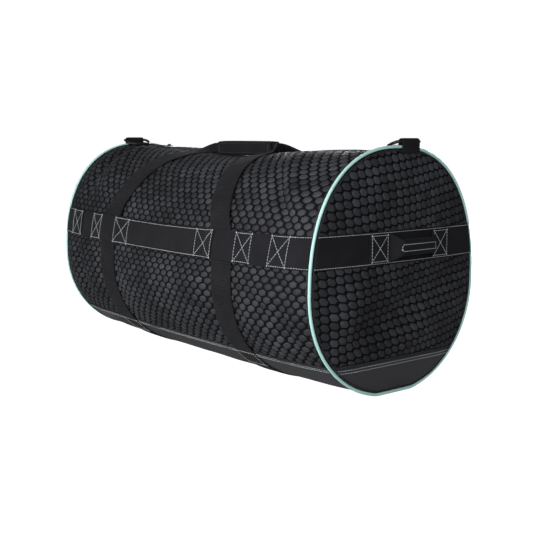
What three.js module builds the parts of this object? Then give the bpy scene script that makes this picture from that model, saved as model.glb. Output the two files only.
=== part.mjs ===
// A mesh dive gear bag: a stuffed duffel with a hexagon mesh body, a coated base, piped end
// seams, a webbing belt, two carry handles held by a wrap, and a strap ring at each end.
// Sizes are in millimetres. X runs along the bag, its front faces -Y, and the floor is z = 0.
import * as THREE from "three";

const { abs, cos, exp, hypot, max, min, PI, sign, sin } = Math;
const rad = THREE.MathUtils.degToRad;
const lerp = THREE.MathUtils.lerp;

// The end outline, a superellipse that is rounder below its widest point than above it
const bagLength = 747; // between the two piped end seams
const endWidth = 351;
const endHeight = 381;
const widestHeight = 169;
const crownPower = 2.34;
const basePower = 2.06;

// How the stuffed body departs from the end outline
const sideSwell = 17; // the sides stand out this far past the end seams at mid length
const crownSag = 21; // the top sinks this far under the carry handles
const baseSag = 5; // the base is pressed on the floor by this much
const pillow = 5; // the mesh stands out this far between the webbing and the seams
const pillowRamp = 26; // within this distance of them
const endBulge = 10; // each end panel stands out this far in its middle
const endRoom = 0.8; // share of an end panel's radius where its bulge has mostly risen

const meshWall = 2;
const baseWall = 2;
const gap = 0.3; // clearance between pieces that touch

const pipingRadius = 3;
const pipingOut = 0.5; // the piping's centre line stands this far outside the outline

const webWidth = 50.8;
const web = 1.8; // thickness of all webbing
const beltHeight = 231.5; // centre of the belt above the floor
const strapAt = 180; // centre of each body strap, from mid length
const seamHeight = 57; // top edge of the coated base
const floorHalf = 44; // half width of the strip that lies on the floor
const webRamp = 12; // length in which webbing steps up over another piece

const labelLength = 310;
const tailLength = 82.5; // each end tail of the belt is sewn down over this length, up to the end seam
const tailLap = 40; // length of tail that lies over the end of the belt

const zipHalf = 16; // half width of the zip's tape
const zipTape = 1.2;
const coilHalf = 3.5;
const coilRise = 1.4;
const sliderFromEnd = 111.5; // the closed slider stops this far from the left end seam
const sliderLength = 13;
const sliderWidth = 10;
const sliderRise = 6;
const pullLength = 30;
const pullWidth = 7;
const pullThickness = 1.6;

const handleLean = 0.4; // sideways travel of a carry handle for each unit that it climbs
const handleShoulder = 29; // a carry handle leaves the body this far below the crown of the ends
const handleSwing = 45; // its way over the crown first keeps its lean for about this length
const handleRunIn = 26; // and ends straight, over about this length, at the wrap
const handleClear = 1.2; // a loose handle lies this far off the mesh
const foldedWidth = 19; // webbing folded lengthwise in the wrap
const foldedWeb = 4;
const handleSpread = 3; // centre of each folded web from mid width
const wrapLength = 158;
const wrapDepth = 24;
const wrapTall = 26.5;
const wrapPad = 3;
const wrapCorner = 6;
const wrapSeat = 1; // the wrap lies this far off the crown

const grabLength = 173;
const grabWidth = 44;
const grabFoot = 37; // sewn length at each end of a grab handle
const grabRise = 15; // clear gap under the grip
const grabRamp = 16;
const gripWidth = 24;
const gripThickness = 4;

const tabWidth = 38;
const tabDrop = 9; // sewn length of a ring tab below the seam's top
const tabFoot = 10; // sewn length of a ring tab on the crown
const barRise = 8.5; // height of the ring's bar above the seam's top
const ringInside = 46; // clear width of the strap ring
const ringDepth = 32; // from the bar's centre line to the bow's
const ringWire = 2.5; // radius of the ring's wire

// How far behind mid width each end's ring tab and grab handle are sewn
const ends = [
  { side: 1, word: "right", tabShift: 24, grabShift: 18 },
  { side: -1, word: "left", tabShift: -14, grabShift: 0 },
];

const halfLength = bagLength / 2;
const halfWidth = endWidth / 2;
const halfWeb = webWidth / 2;

// Along each half of the bag: at is a share of its half length, sag a share of crownSag and
// swell a share of sideSwell.
const stations = [
  { at: 0, sag: 1, swell: 1 },
  { at: 0.25, sag: 0.95, swell: 0.98 },
  { at: 0.5, sag: 0.74, swell: 0.9 },
  { at: 0.7, sag: 0.58, swell: 0.74 },
  { at: 0.85, sag: 0.36, swell: 0.5 },
  { at: 0.94, sag: 0.14, swell: 0.26 },
  { at: 1, sag: 0, swell: 0 },
];

// Folds of the mesh body. x is a share of the half length, girth a share of the way from the
// crown to the middle of the base (the front is positive), run and wide are shares of the
// half length, turn is in degrees from the X axis and rise is a share of pillow.
const bodyFolds = [
  { x: 0.78, girth: 0.3, run: 0.2, wide: 0.035, turn: 48, rise: -1.1 },
  { x: 0.72, girth: 0.22, run: 0.2, wide: 0.06, turn: 48, rise: 0.9 },
  { x: 0.84, girth: 0.5, run: 0.14, wide: 0.035, turn: 52, rise: -1 },
  { x: 0.7, girth: 0.58, run: 0.16, wide: 0.05, turn: 35, rise: -0.7 },
  { x: 0.86, girth: 0.64, run: 0.15, wide: 0.04, turn: 80, rise: -0.9 },
  { x: -0.82, girth: 0.22, run: 0.22, wide: 0.035, turn: 84, rise: -1 },
  { x: -0.68, girth: 0.2, run: 0.24, wide: 0.05, turn: 76, rise: 0.8 },
  { x: -0.8, girth: 0.56, run: 0.18, wide: 0.045, turn: 72, rise: -0.8 },
  { x: -0.1, girth: 0.2, run: 0.4, wide: 0.08, turn: 6, rise: 0.5 },
  { x: 0.05, girth: 0.56, run: 0.4, wide: 0.07, turn: -5, rise: 0.5 },
  { x: 0.8, girth: -0.28, run: 0.2, wide: 0.04, turn: -50, rise: -1 },
  { x: -0.78, girth: -0.3, run: 0.2, wide: 0.04, turn: 50, rise: -1 },
  { x: 0.1, girth: -0.55, run: 0.35, wide: 0.07, turn: 8, rise: 0.6 },
];

// Dents and ridges of an end panel. y is a share of its half width, z of its height, run and
// wide are shares of the half width, turn is in degrees from the Y axis and rise is a share
// of endBulge.
const endFolds = [
  { y: 0.12, z: 0.36, run: 0.75, wide: 0.13, turn: 24, rise: -0.7 },
  { y: 0.3, z: 0.25, run: 0.6, wide: 0.13, turn: 22, rise: 0.45 },
  { y: -0.42, z: 0.44, run: 0.4, wide: 0.16, turn: 35, rise: 0.45 },
  { y: 0.1, z: 0.78, run: 0.5, wide: 0.16, turn: 80, rise: 0.3 },
];

// The value of a column at a place along a table, on a smooth curve through its rows
function column(rows, at, name) {
  const last = rows.length - 1;
  let i = rows.findIndex((row) => row.at > at) - 1;
  if (i < 0) i = at <= rows[0].at ? 0 : last - 1;
  const slope = (a, b) => (rows[b][name] - rows[a][name]) / (rows[b].at - rows[a].at);
  const from = slope(max(i - 1, 0), i + 1);
  const to = slope(i, min(i + 2, last));
  const step = rows[i + 1].at - rows[i].at;
  const t = min(max((at - rows[i].at) / step, 0), 1);
  return (
    rows[i][name] * (1 + 2 * t) * (1 - t) ** 2 +
    from * step * t * (1 - t) ** 2 +
    rows[i + 1][name] * t * t * (3 - 2 * t) +
    to * step * t * t * (t - 1)
  );
}

// One side of the end outline, from the crown to the middle of the base, by arc length
const outlineRows = [];
const outlineSteps = 720;
for (let i = 0; i <= outlineSteps; i++) {
  const angle = (PI * i) / outlineSteps;
  const upper = i <= outlineSteps / 2;
  const power = 2 / (upper ? crownPower : basePower);
  const depth = upper ? endHeight - widestHeight : widestHeight;
  const out = halfWidth * abs(sin(angle)) ** power;
  const z = widestHeight + depth * sign(cos(angle)) * abs(cos(angle)) ** power;
  const before = outlineRows[i - 1];
  const arc = before ? before.arc + hypot(out - before.out, z - before.z) : 0;
  outlineRows.push({ arc, out, z });
}
const halfGirth = outlineRows[outlineSteps].arc;

// The outline's point at an arc length s from the crown. The front side is positive.
function outline(s) {
  const arc = min(abs(s), halfGirth);
  let low = 0;
  let high = outlineSteps;
  while (high - low > 1) {
    const middle = (low + high) >> 1;
    if (outlineRows[middle].arc > arc) high = middle;
    else low = middle;
  }
  const a = outlineRows[low];
  const b = outlineRows[high];
  const t = (arc - a.arc) / (b.arc - a.arc);
  return { y: -sign(s) * lerp(a.out, b.out, t), z: lerp(a.z, b.z, t) };
}

// The arc length at which the outline has a given height
function arcAtHeight(z) {
  const i = outlineRows.findIndex((row) => row.z <= z);
  const a = outlineRows[i - 1];
  const b = outlineRows[i];
  return lerp(a.arc, b.arc, (a.z - z) / (a.z - b.z));
}

const tailStart = bagLength / 2 - tailLength;
const sliderAt = sliderFromEnd - bagLength / 2;
const beltArc = arcAtHeight(beltHeight);
const seamArc = arcAtHeight(seamHeight);

// 0 inside a band, rising to 1 at about one ramp's length outside it
const away = (distance, ramp) => 1 - exp(-((max(distance, 0) / ramp) ** 2));

// The base stands clear of the floor by what lies under it: a strap, or an end's piping.
function floorLift(x) {
  const overStrap = 1 - away(abs(abs(x) - strapAt) - halfWeb - gap, webRamp);
  const overPiping = 1 - away(halfLength - pipingRadius - gap - abs(x), webRamp * 2);
  return max((web + gap) * overStrap, (pipingRadius + pipingOut) * overPiping);
}

// The taut skin that the webbing lies on
function skin(x, s) {
  const at = min(abs(x) / halfLength, 1);
  const sag = crownSag * column(stations, at, "sag");
  const swell = sideSwell * column(stations, at, "swell");
  const { y, z } = outline(s);
  const crown = 1 - sag / (endHeight - widestHeight);
  const base = 1 + ((baseSag / widestHeight) * sag) / crownSag;
  const tall = widestHeight + (z - widestHeight) * (z > widestHeight ? crown : base);
  return new THREE.Vector3(x, y * (1 + swell / halfWidth), max(tall, floorLift(x)));
}

function skinNormal(x, s) {
  const step = 0.5;
  const inside = min(max(x, step - halfLength), halfLength - step);
  const along = skin(inside + step, s).sub(skin(inside - step, s));
  const round = skin(x, s + step).sub(skin(x, s - step));
  return round.cross(along).normalize();
}

// A fold's height at a point given by its distance from the fold's centre
function foldHeight(fold, du, dv, unit) {
  const turn = rad(fold.turn);
  const along = (du * cos(turn) + dv * sin(turn)) / (fold.run * unit);
  const across = (dv * cos(turn) - du * sin(turn)) / (fold.wide * unit);
  return fold.rise * exp(-(along ** 4) - across ** 2);
}

// How far the mesh stands out from the taut skin
function puff(x, s) {
  const arc = abs(s);
  const offBelt = away(abs(arc - beltArc) - halfWeb, pillowRamp);
  const overStrap = arc > beltArc ? away(abs(abs(x) - strapAt) - halfWeb, pillowRamp) : 1;
  const offEnds = away(halfLength - abs(x), pillowRamp);
  const offSeams = away(min(arc - zipHalf, seamArc - arc), pillowRamp);
  let height = 1;
  for (const fold of bodyFolds) {
    const du = x - fold.x * halfLength;
    const dv = s - fold.girth * halfGirth;
    height += foldHeight(fold, du, dv, halfLength);
  }
  return pillow * height * offBelt * overStrap * offEnds * offSeams;
}

const onSkin = (x, s, off) => skin(x, s).addScaledVector(skinNormal(x, s), off);
const onMesh = (x, s, off) => onSkin(x, s, off + puff(x, s));

// The outer face of an end panel at a point of its plane
function endFace(side, y, z) {
  const middle = endHeight / 2;
  const edge = abs(outline(arcAtHeight(min(max(z, 1), endHeight - 1))).y);
  const reach = max(abs(y) / edge, abs(z - middle) / middle);
  const bulge = 1 - min(reach, 1) ** (1 / (1 - endRoom) / 2);
  const offBelt = away(abs(z - beltHeight) - halfWeb, pillowRamp);
  const offSeam = away(abs(z - seamHeight), pillowRamp / 2);
  let height = 0;
  for (const fold of endFolds) {
    const du = y - fold.y * halfWidth;
    const dv = z - fold.z * endHeight;
    height += foldHeight(fold, du, dv, halfWidth);
  }
  const room = away((1 - reach) * halfWidth, pillowRamp);
  const out = endBulge * (bulge + height * offBelt * offSeam * room);
  return new THREE.Vector3(side * (halfLength + meshWall / 2 + out), y, z);
}

// Numbers from the first place to the last, with counts[i] equal steps between neighbours
function places(marks, counts) {
  const list = [marks[0]];
  counts.forEach((count, i) => {
    for (let k = 1; k <= count; k++) list.push(lerp(marks[i], marks[i + 1], k / count));
  });
  return list;
}

// A closed body from a list of vertices and a list of corner numbers, faces turned outwards
function closedBody(points, corners) {
  let volume = 0;
  for (let i = 0; i < corners.length; i += 3) {
    const [a, b, c] = [points[corners[i]], points[corners[i + 1]], points[corners[i + 2]]];
    volume += a.dot(b.clone().cross(c));
  }
  if (volume < 0) corners.reverse();
  const geometry = new THREE.BufferGeometry().setFromPoints(points);
  geometry.setIndex(corners);
  geometry.computeVertexNormals();
  return geometry;
}

// A wall between two facing surfaces, each a function of a row value and a column value
function wallBody(rows, columns, outside, inside) {
  const points = [];
  const count = columns.length;
  for (const face of [outside, inside]) {
    for (const u of rows) for (const v of columns) points.push(face(u, v));
  }
  const at = (face, i, j) => (face * rows.length + i) * count + j;
  const corners = [];
  const quad = (a, b, c, d) => corners.push(a, b, c, a, c, d);
  const lastRow = rows.length - 1;
  const lastColumn = count - 1;
  for (let i = 0; i < lastRow; i++) {
    for (let j = 0; j < lastColumn; j++) {
      quad(at(0, i, j), at(0, i + 1, j), at(0, i + 1, j + 1), at(0, i, j + 1));
      quad(at(1, i, j), at(1, i, j + 1), at(1, i + 1, j + 1), at(1, i + 1, j));
    }
    quad(at(0, i, 0), at(1, i, 0), at(1, i + 1, 0), at(0, i + 1, 0));
    quad(at(0, i, lastColumn), at(0, i + 1, lastColumn), at(1, i + 1, lastColumn), at(1, i, lastColumn));
  }
  for (let j = 0; j < lastColumn; j++) {
    quad(at(0, 0, j), at(0, 0, j + 1), at(1, 0, j + 1), at(1, 0, j));
    quad(at(0, lastRow, j), at(1, lastRow, j), at(1, lastRow, j + 1), at(0, lastRow, j + 1));
  }
  return closedBody(points, corners);
}

// A strip of webbing through rows of centre, width direction, normal, width and thickness
function ribbonBody(rows) {
  const across = (row, side, face) =>
    row.centre
      .clone()
      .addScaledVector(row.across, (side * row.width) / 2)
      .addScaledVector(row.normal, (face * row.thickness) / 2);
  return wallBody(
    rows.map((row, i) => i),
    [-1, 1],
    (i, side) => across(rows[i], side, 1),
    (i, side) => across(rows[i], side, -1),
  );
}

// A closed tube of a many-sided wire through the frames of a loop
function loopBody(frames, radius, sides) {
  const points = [];
  const corners = [];
  frames.forEach((frame, i) => {
    const next = (i + 1) % frames.length;
    for (let k = 0; k < sides; k++) {
      const angle = (2 * PI * (k + 0.5)) / sides;
      const point = frame.centre.clone();
      point.addScaledVector(frame.out, radius * cos(angle) * (frame.mitre ?? 1));
      points.push(point.addScaledVector(frame.up, radius * sin(angle)));
      const a = i * sides + k;
      const b = i * sides + ((k + 1) % sides);
      const c = next * sides + ((k + 1) % sides);
      const d = next * sides + k;
      corners.push(a, b, c, a, c, d);
    }
  });
  return closedBody(points, corners);
}

const finishes = {
  mesh: { color: 0x1c1c20, roughness: 0.62, metalness: 0 },
  coated: { color: 0x2e2f33, roughness: 0.5, metalness: 0 },
  piping: { color: 0x9fd0c6, roughness: 0.45, metalness: 0 },
  webbing: { color: 0x1a1a1e, roughness: 0.8, metalness: 0 },
  zip: { color: 0x121214, roughness: 0.6, metalness: 0 },
  ring: { color: 0x17181a, roughness: 0.4, metalness: 0.3 },
};

const bag = new THREE.Group();

function addPiece(name, geometry, finish) {
  const material = new THREE.MeshStandardMaterial(finishes[finish]);
  const piece = new THREE.Mesh(geometry, material);
  piece.name = name;
  bag.add(piece);
  return piece;
}

// The body walls have a row of corners at each edge of the webbing that lies on them.
const wallEnd = halfLength - pipingRadius - gap;
const strapInner = strapAt - halfWeb;
const strapOuter = strapAt + halfWeb;
const wallStations = places(
  [-wallEnd, -strapOuter, -strapInner, strapInner, strapOuter, wallEnd],
  [7, 1, 12, 1, 7],
);

const beltTop = beltArc - halfWeb;
const beltFoot = beltArc + halfWeb;
const meshArcs = places([zipHalf + gap, beltTop, beltFoot, seamArc - gap / 2], [5, 2, 4]);

function meshPanels() {
  const outside = (side) => (x, s) => onMesh(x, side * s, 0);
  const inside = (side) => (x, s) => onMesh(x, side * s, -meshWall);
  addPiece("mesh_front", wallBody(wallStations, meshArcs, outside(1), inside(1)), "mesh");
  addPiece("mesh_back", wallBody(wallStations, meshArcs, outside(-1), inside(-1)), "mesh");
}

// The base is one sheet from the front seam to the back seam, flat where it meets the floor.
const baseFlat = halfGirth - floorHalf;
const baseArcs = places([seamArc + gap / 2, baseFlat], [3]);

function basePanel() {
  const rows = [...baseArcs, ...baseArcs.map((arc) => -arc).reverse()];
  const face = (off) => (x, s) => onSkin(x, s, off);
  addPiece("base_panel", wallBody(wallStations, rows, face(0), face(-baseWall)), "coated");
}

function zipPieces() {
  const rows = places([-wallEnd, wallEnd], [18]);
  const across = [-zipHalf, -coilHalf - coilRise, -coilHalf, coilHalf, coilHalf + coilRise, zipHalf];
  const top = (x, s) => onSkin(x, s, abs(s) <= coilHalf ? coilRise : 0);
  const under = (x, s) => onSkin(x, s, -zipTape);
  addPiece("zip", wallBody(rows, across, top, under), "zip");

  const shape = new THREE.Shape();
  const bodyHalf = sliderLength / 2;
  const pullEnd = -bodyHalf - pullLength;
  const pullTop = coilRise + gap + pullThickness;
  shape.moveTo(bodyHalf, coilRise + gap);
  shape.lineTo(bodyHalf, sliderRise - pullThickness);
  shape.lineTo(bodyHalf - pullThickness, sliderRise);
  shape.lineTo(pullThickness - bodyHalf, sliderRise);
  shape.lineTo(-bodyHalf, pullTop);
  shape.lineTo(pullEnd, pullTop);
  shape.lineTo(pullEnd, coilRise + gap);
  const sliderBody = new THREE.ExtrudeGeometry(shape, {
    depth: sliderWidth,
    bevelEnabled: false,
  });
  // The pull is narrower than the slider, so its corners are drawn in.
  const corners = sliderBody.attributes.position;
  for (let i = 0; i < corners.count; i++) {
    const centred = corners.getZ(i) - sliderWidth / 2;
    const narrow = corners.getX(i) < pullEnd + 1 ? pullWidth / sliderWidth : 1;
    corners.setZ(i, centred * narrow);
  }
  sliderBody.rotateX(PI / 2);
  // It lies along the zip's slope, clear of the slight hump between its two ends.
  const [tail, nose] = [sliderAt + pullEnd, sliderAt + bodyHalf];
  const rise = (x) => skin(x, 0).z;
  const slope = (rise(nose) - rise(tail)) / (nose - tail);
  const hump = places([tail, nose], [8]).map((x) => rise(x) - rise(tail) - slope * (x - tail));
  const slider = addPiece("zip_slider", sliderBody, "ring");
  slider.position.set(sliderAt, 0, rise(tail) + slope * (sliderAt - tail) + max(...hump) + gap);
  slider.rotation.y = -Math.atan(slope);
}

// One end: the mesh panel above the seam, the coated panel below it and the piping round both
function endPanels({ side, word }) {
  const inset = pipingRadius - pipingOut + gap;
  const shares = places([-1, 1], [12]);
  const edge = (arc) => {
    const point = onSkin(side * halfLength, arc, -inset);
    return { y: abs(point.y), z: point.z };
  };
  const panel = (name, arcs, finish) => {
    const at = (arc, share, off) => {
      const { y, z } = edge(arc);
      const point = endFace(side, y * share, z);
      return point.setX(point.x + side * off);
    };
    const outside = (arc, share) => at(arc, share, 0);
    const inside = (arc, share) => at(arc, share, -meshWall);
    addPiece(`${name}_${word}`, wallBody(arcs, shares, outside, inside), finish);
  };
  const crownStart = 26; // the panel's top edge is one short chord of this half length
  panel("end_mesh", places([crownStart, beltTop, beltFoot, seamArc - gap / 2], [5, 1, 5]), "mesh");
  panel("end_base", places([seamArc + gap / 2, baseFlat], [4]), "coated");

  const frames = [];
  const pipingSteps = 52;
  for (let i = 0; i < pipingSteps; i++) {
    const s = halfGirth * ((2 * i) / pipingSteps - 1);
    const out = skinNormal(side * halfLength, s).setX(0).normalize();
    const centre = skin(side * halfLength, s).addScaledVector(out, pipingOut);
    frames.push({ centre, out, up: new THREE.Vector3(1, 0, 0) });
  }
  addPiece(`piping_${word}`, loopBody(frames, pipingRadius, 6), "piping");
}

// The belt steps out over a strap, and its tail steps out over the end of the belt.
const step = (distance) => min(max(1 - distance / webRamp, 0), 1);
const stepInner = strapInner - handleLean * halfWeb - 1;
const stepOuter = strapOuter + 1;
const beltSeat = (x) => gap + (web + gap) * step(max(stepInner - abs(x), abs(x) - stepOuter));
const tailSeat = (x) => beltSeat(x) + (web + gap) * step(abs(x) - tailStart - tailLap);

function beltStrip(name, facing, xs, seat, finish) {
  const arcs = places([beltArc - halfWeb, beltArc + halfWeb], [2]);
  const outside = (x, s) => onSkin(x, facing * s, seat(x) + web);
  const inside = (x, s) => onSkin(x, facing * s, seat(x));
  addPiece(name, wallBody(xs, arcs, outside, inside), finish);
}

function beltPieces() {
  const over = [stepInner - webRamp, stepInner, stepOuter, stepOuter + webRamp];
  const beltEnd = tailStart + tailLap - gap;
  const beltMarks = [-beltEnd, ...over.map((x) => -x).reverse(), ...over, beltEnd];
  const beltStations = places(beltMarks, [4, 1, 2, 1, 10, 1, 2, 1, 4]);
  beltStrip("belt_front", 1, beltStations, beltSeat, "webbing");
  beltStrip("belt_back", -1, beltStations, beltSeat, "webbing");
  const level = stepInner - webRamp;
  const labelHalf = labelLength / 2;
  const labelStations = places([-labelHalf, -stepInner, -level, level, stepInner, labelHalf], [1, 1, 8, 1, 1]);
  beltStrip("label_panel", 1, labelStations, (x) => beltSeat(x) + web + gap, "webbing");
  for (const { side, word } of ends) {
    const tailMarks = [tailStart, tailStart + tailLap, tailStart + tailLap + webRamp, wallEnd];
    const tailStations = places(tailMarks, [2, 1, 1]).map((x) => side * x);
    beltStrip(`belt_tail_front_${word}`, 1, tailStations, tailSeat, "webbing");
    beltStrip(`belt_tail_back_${word}`, -1, tailStations, tailSeat, "webbing");

    const inset = pipingRadius - pipingOut + gap * 2;
    const rows = places([beltHeight - halfWeb, beltHeight + halfWeb], [2]);
    const shares = places([-1, 1], [12]);
    const face = (off) => (z, share) => {
      const edge = abs(outline(arcAtHeight(z)).y) - inset;
      const point = endFace(side, edge * share, z);
      return point.setX(point.x + side * off);
    };
    addPiece(`belt_end_${word}`, wallBody(rows, shares, face(gap + web), face(gap)), "webbing");
  }
}

// A body strap is sewn on from the front belt, under the base, to the back belt. It has a row
// of corners wherever the mesh and the base below it have one.
function bodyStraps() {
  const down = [beltArc + gap / 2, beltFoot, ...meshArcs.filter((arc) => arc > beltFoot)];
  const front = [...down, ...baseArcs.filter((arc) => arc > 0)];
  const rows = [...front, ...front.map((arc) => -arc).reverse()];
  for (const { side, word } of ends) {
    const xs = [side * strapInner, side * strapOuter];
    const face = (off) => (s, x) => onSkin(x, s, off);
    addPiece(`strap_${word}`, wallBody(rows, xs, face(gap + web), face(gap)), "webbing");
  }
}

const crownHeight = skin(0, 0).z + coilRise;
const wrapMiddle = crownHeight + wrapSeat + wrapTall / 2;

// The most that the mesh stands out near a point, which is what a loose web lies on
function puffNear(x, s) {
  const reach = halfWeb / 2;
  let most = 0;
  for (const dx of [-reach, 0, reach]) {
    for (const ds of [-reach, 0, reach]) most = max(most, puff(x + dx, s + ds));
  }
  return most;
}

// Half of a carry handle, from the belt to its end in the wrap. Facing is 1 at the front.
// Each row holds the three points across the web, its normals and its thickness.
function handleHalf(facing, side) {
  const rows = [];
  const shoulder = arcAtHeight(endHeight - handleShoulder);
  const climb = [beltArc - gap / 2, beltTop, ...places([beltTop, shoulder], [8]).slice(1)];
  const centreX = (arc) => side * (strapAt - handleLean * (beltArc - arc));
  for (const arc of climb) {
    const off = gap + web / 2 + (arc < beltTop ? handleClear : 0);
    const xs = [-halfWeb, 0, halfWeb].map((across) => centreX(arc) + across);
    const lies = (x) => onSkin(x, facing * arc, off + (arc < beltTop ? puffNear(x, facing * arc) : 0));
    rows.push({
      points: xs.map(lies),
      normals: xs.map((x) => skinNormal(x, facing * arc)),
      thickness: web,
    });
  }

  // Over the crown the web turns on edge and folds lengthwise on its way into the wrap.
  const path = new THREE.CubicBezierCurve(
    new THREE.Vector2(centreX(shoulder), shoulder),
    new THREE.Vector2(centreX(shoulder) - side * handleLean * handleSwing, shoulder - handleSwing),
    new THREE.Vector2(side * (wrapLength / 2 + handleRunIn), handleSpread),
    new THREE.Vector2(side * (wrapLength / 2), handleSpread),
  );
  const riseSteps = 12;
  const lies = (t) => {
    const spot = path.getPoint(t);
    const folded = min(t / 0.8, 1);
    const turned = max((t - 0.5) / 0.5, 0);
    const turn = (PI / 2) * turned * turned * (3 - 2 * turned);
    const width = lerp(webWidth, foldedWidth, folded * folded * (3 - 2 * folded));
    const clear = gap + web / 2 + handleClear + (width / 2) * sin(turn);
    const reach = puffNear(spot.x, facing * spot.y) * (1 - t ** 4);
    const centre = onSkin(spot.x, facing * spot.y, 0);
    const level = centre.z + clear + reach;
    const flat = onSkin(spot.x, facing * spot.y, clear + reach);
    flat.z = lerp(flat.z, lerp(level, wrapMiddle, t ** 5), t);
    return { centre: flat, turn, width };
  };
  for (let i = 1; i <= riseSteps; i++) {
    const t = i / riseSteps;
    const { centre, turn, width } = lies(t);
    const spot = path.getPoint(t);
    const face = skinNormal(spot.x, facing * spot.y);
    const ahead = t < 1 ? lies(t + 0.01).centre : centre.clone().add(new THREE.Vector3(-side, 0, 0));
    const along = ahead.sub(centre).normalize();
    const flat = face.clone().cross(along).normalize();
    if (flat.x < 0) flat.negate();
    flat.lerp(new THREE.Vector3(1, 0, 0), (1 - t) ** 6).normalize();
    if (i === riseSteps) flat.set(0, side * facing, 0);
    const upright = flat.clone().cross(along).normalize();
    if (upright.z < 0) upright.negate();
    const across = flat.multiplyScalar(cos(turn)).addScaledVector(upright, side * sin(turn)).normalize();
    const normal = across.clone().cross(along).normalize();
    if (normal.dot(rows[rows.length - 1].normals[1]) < 0) normal.negate();
    rows.push({
      points: [-1, 0, 1].map((part) => centre.clone().addScaledVector(across, (part * width) / 2)),
      normals: [normal, normal, normal],
      thickness: lerp(web, foldedWeb, max(t * 2 - 1, 0)),
    });
  }
  return rows;
}

function carryHandles() {
  for (const [facing, word] of [[1, "front"], [-1, "back"]]) {
    const right = handleHalf(facing, 1);
    const left = handleHalf(facing, -1).reverse();
    const rows = [...right, ...left];
    // In the wrap the web stands on edge, and each row runs from its lower edge to its upper.
    for (const row of left) {
      if (row.points[2].z < row.points[0].z - 1) row.points.reverse();
      row.normals = row.normals.map((normal) => normal.clone());
    }
    const off = (face) => (i, part) => {
      const row = rows[i];
      const thick = (face * row.thickness) / 2;
      return row.points[part].clone().addScaledVector(row.normals[part], thick);
    };
    const numbers = rows.map((row, i) => i);
    addPiece(`handle_${word}`, wallBody(numbers, [0, 1, 2], off(1), off(-1)), "webbing");
  }

  const tunnelTall = wrapTall - 2 * wrapPad;
  const tunnelDeep = wrapDepth - 2 * wrapPad;
  const rounded = (path, deep, tall, corner) => {
    const [y, z] = [deep / 2 - corner, tall / 2 - corner];
    path.absarc(y, z, corner, 0, PI / 2);
    path.absarc(-y, z, corner, PI / 2, PI);
    path.absarc(-y, -z, corner, PI, 1.5 * PI);
    path.absarc(y, -z, corner, 1.5 * PI, 2 * PI);
    path.closePath();
    return path;
  };
  const shape = rounded(new THREE.Shape(), wrapDepth, wrapTall, wrapCorner);
  shape.holes.push(rounded(new THREE.Path(), tunnelDeep, tunnelTall, wrapCorner - wrapPad));
  const depth = wrapLength - 2 * gap;
  const sleeve = new THREE.ExtrudeGeometry(shape, { depth, bevelEnabled: false, curveSegments: 4 });
  sleeve.translate(0, 0, -depth / 2).rotateX(PI / 2).rotateZ(PI / 2);
  addPiece("handle_wrap", sleeve, "webbing").position.set(0, 0, wrapMiddle);
}

// A grab handle is sewn to the belt at both ends, and its middle is folded to a narrow grip.
function grabHandle({ side, word, grabShift }) {
  const half = grabLength / 2;
  const bend = half - grabFoot;
  const marks = [-half, -bend, -bend + grabRamp, bend - grabRamp, bend, half];
  const rows = places(marks, [3, 5, 5, 5, 3]).map((along) => {
    const raw = min(max((bend - abs(along)) / grabRamp, 0), 1);
    const rise = raw * raw * (3 - 2 * raw);
    const y = grabShift + along;
    const seat = endFace(side, y, beltHeight);
    const thickness = lerp(web, gripThickness, rise);
    const off = gap * 2 + web + thickness / 2 + grabRise * rise;
    const slope = endFace(side, y + 1, beltHeight).x - endFace(side, y - 1, beltHeight).x;
    return {
      centre: seat.setX(seat.x + side * off),
      across: new THREE.Vector3(0, 0, 1),
      normal: new THREE.Vector3(side, -slope / 2, 0).normalize(),
      width: lerp(grabWidth, gripWidth, rise),
      thickness,
    };
  });
  addPiece(`grab_handle_${word}`, ribbonBody(rows), "webbing");
}

// A ring tab straddles the piping at the top of an end, with the ring's bar in its loop.
function ringTab({ side, word, tabShift }) {
  const inner = pipingRadius + gap;
  const outer = inner + web;
  const seat = coilRise + gap;
  const leans = [-tabWidth / 2, 0, tabWidth / 2];
  const under = leans.map((across) => abs(endFace(side, tabShift + across, endHeight - tabDrop).x));
  const foot = max(...under) - halfLength + gap * 1.5;
  const shape = new THREE.Shape();
  shape.moveTo(max(foot, inner) + web, -tabDrop);
  shape.lineTo(outer, 0);
  shape.lineTo(outer, barRise);
  shape.absarc(0, barRise, outer, 0, PI);
  shape.lineTo(-outer, seat + web);
  shape.lineTo(-outer - tabFoot, seat + web);
  shape.lineTo(-outer - tabFoot, seat);
  shape.lineTo(-inner, seat);
  shape.lineTo(-inner, barRise);
  shape.absarc(0, barRise, inner, PI, 0, true);
  shape.lineTo(inner, 0);
  shape.lineTo(max(foot, inner), -tabDrop);
  const tab = new THREE.ExtrudeGeometry(shape, {
    depth: tabWidth,
    bevelEnabled: false,
    curveSegments: 8,
  });
  tab.translate(0, 0, -tabWidth / 2).rotateX(PI / 2);
  const piece = addPiece(`ring_tab_${word}`, tab, "webbing");
  piece.position.set(side * halfLength, tabShift, endHeight);
  if (side < 0) piece.rotation.z = PI;
}

// The strap ring's plan, across and away from its bar: a straight bar and a bow
function ringPlan() {
  const halfBar = ringInside / 2 + ringWire;
  const corner = 6;
  const flat = 9; // half length of the bow's straight middle, where a strap's hook pulls
  const plan = [];
  const arc = (cx, cy, rx, ry, from, to, count) => {
    for (let i = 0; i <= count; i++) {
      const angle = rad(lerp(from, to, i / count));
      plan.push(new THREE.Vector2(cx + rx * cos(angle), cy + ry * sin(angle)));
    }
  };
  const shoulder = corner + 3; // where the bow's sides begin to close in
  arc(halfBar - corner, corner, corner, corner, -90, 0, 3);
  arc(flat, shoulder, halfBar - flat, ringDepth - shoulder, 0, 90, 6);
  arc(-flat, shoulder, halfBar - flat, ringDepth - shoulder, 90, 180, 6);
  arc(corner - halfBar, corner, corner, corner, 180, 270, 3);
  return plan;
}

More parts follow.
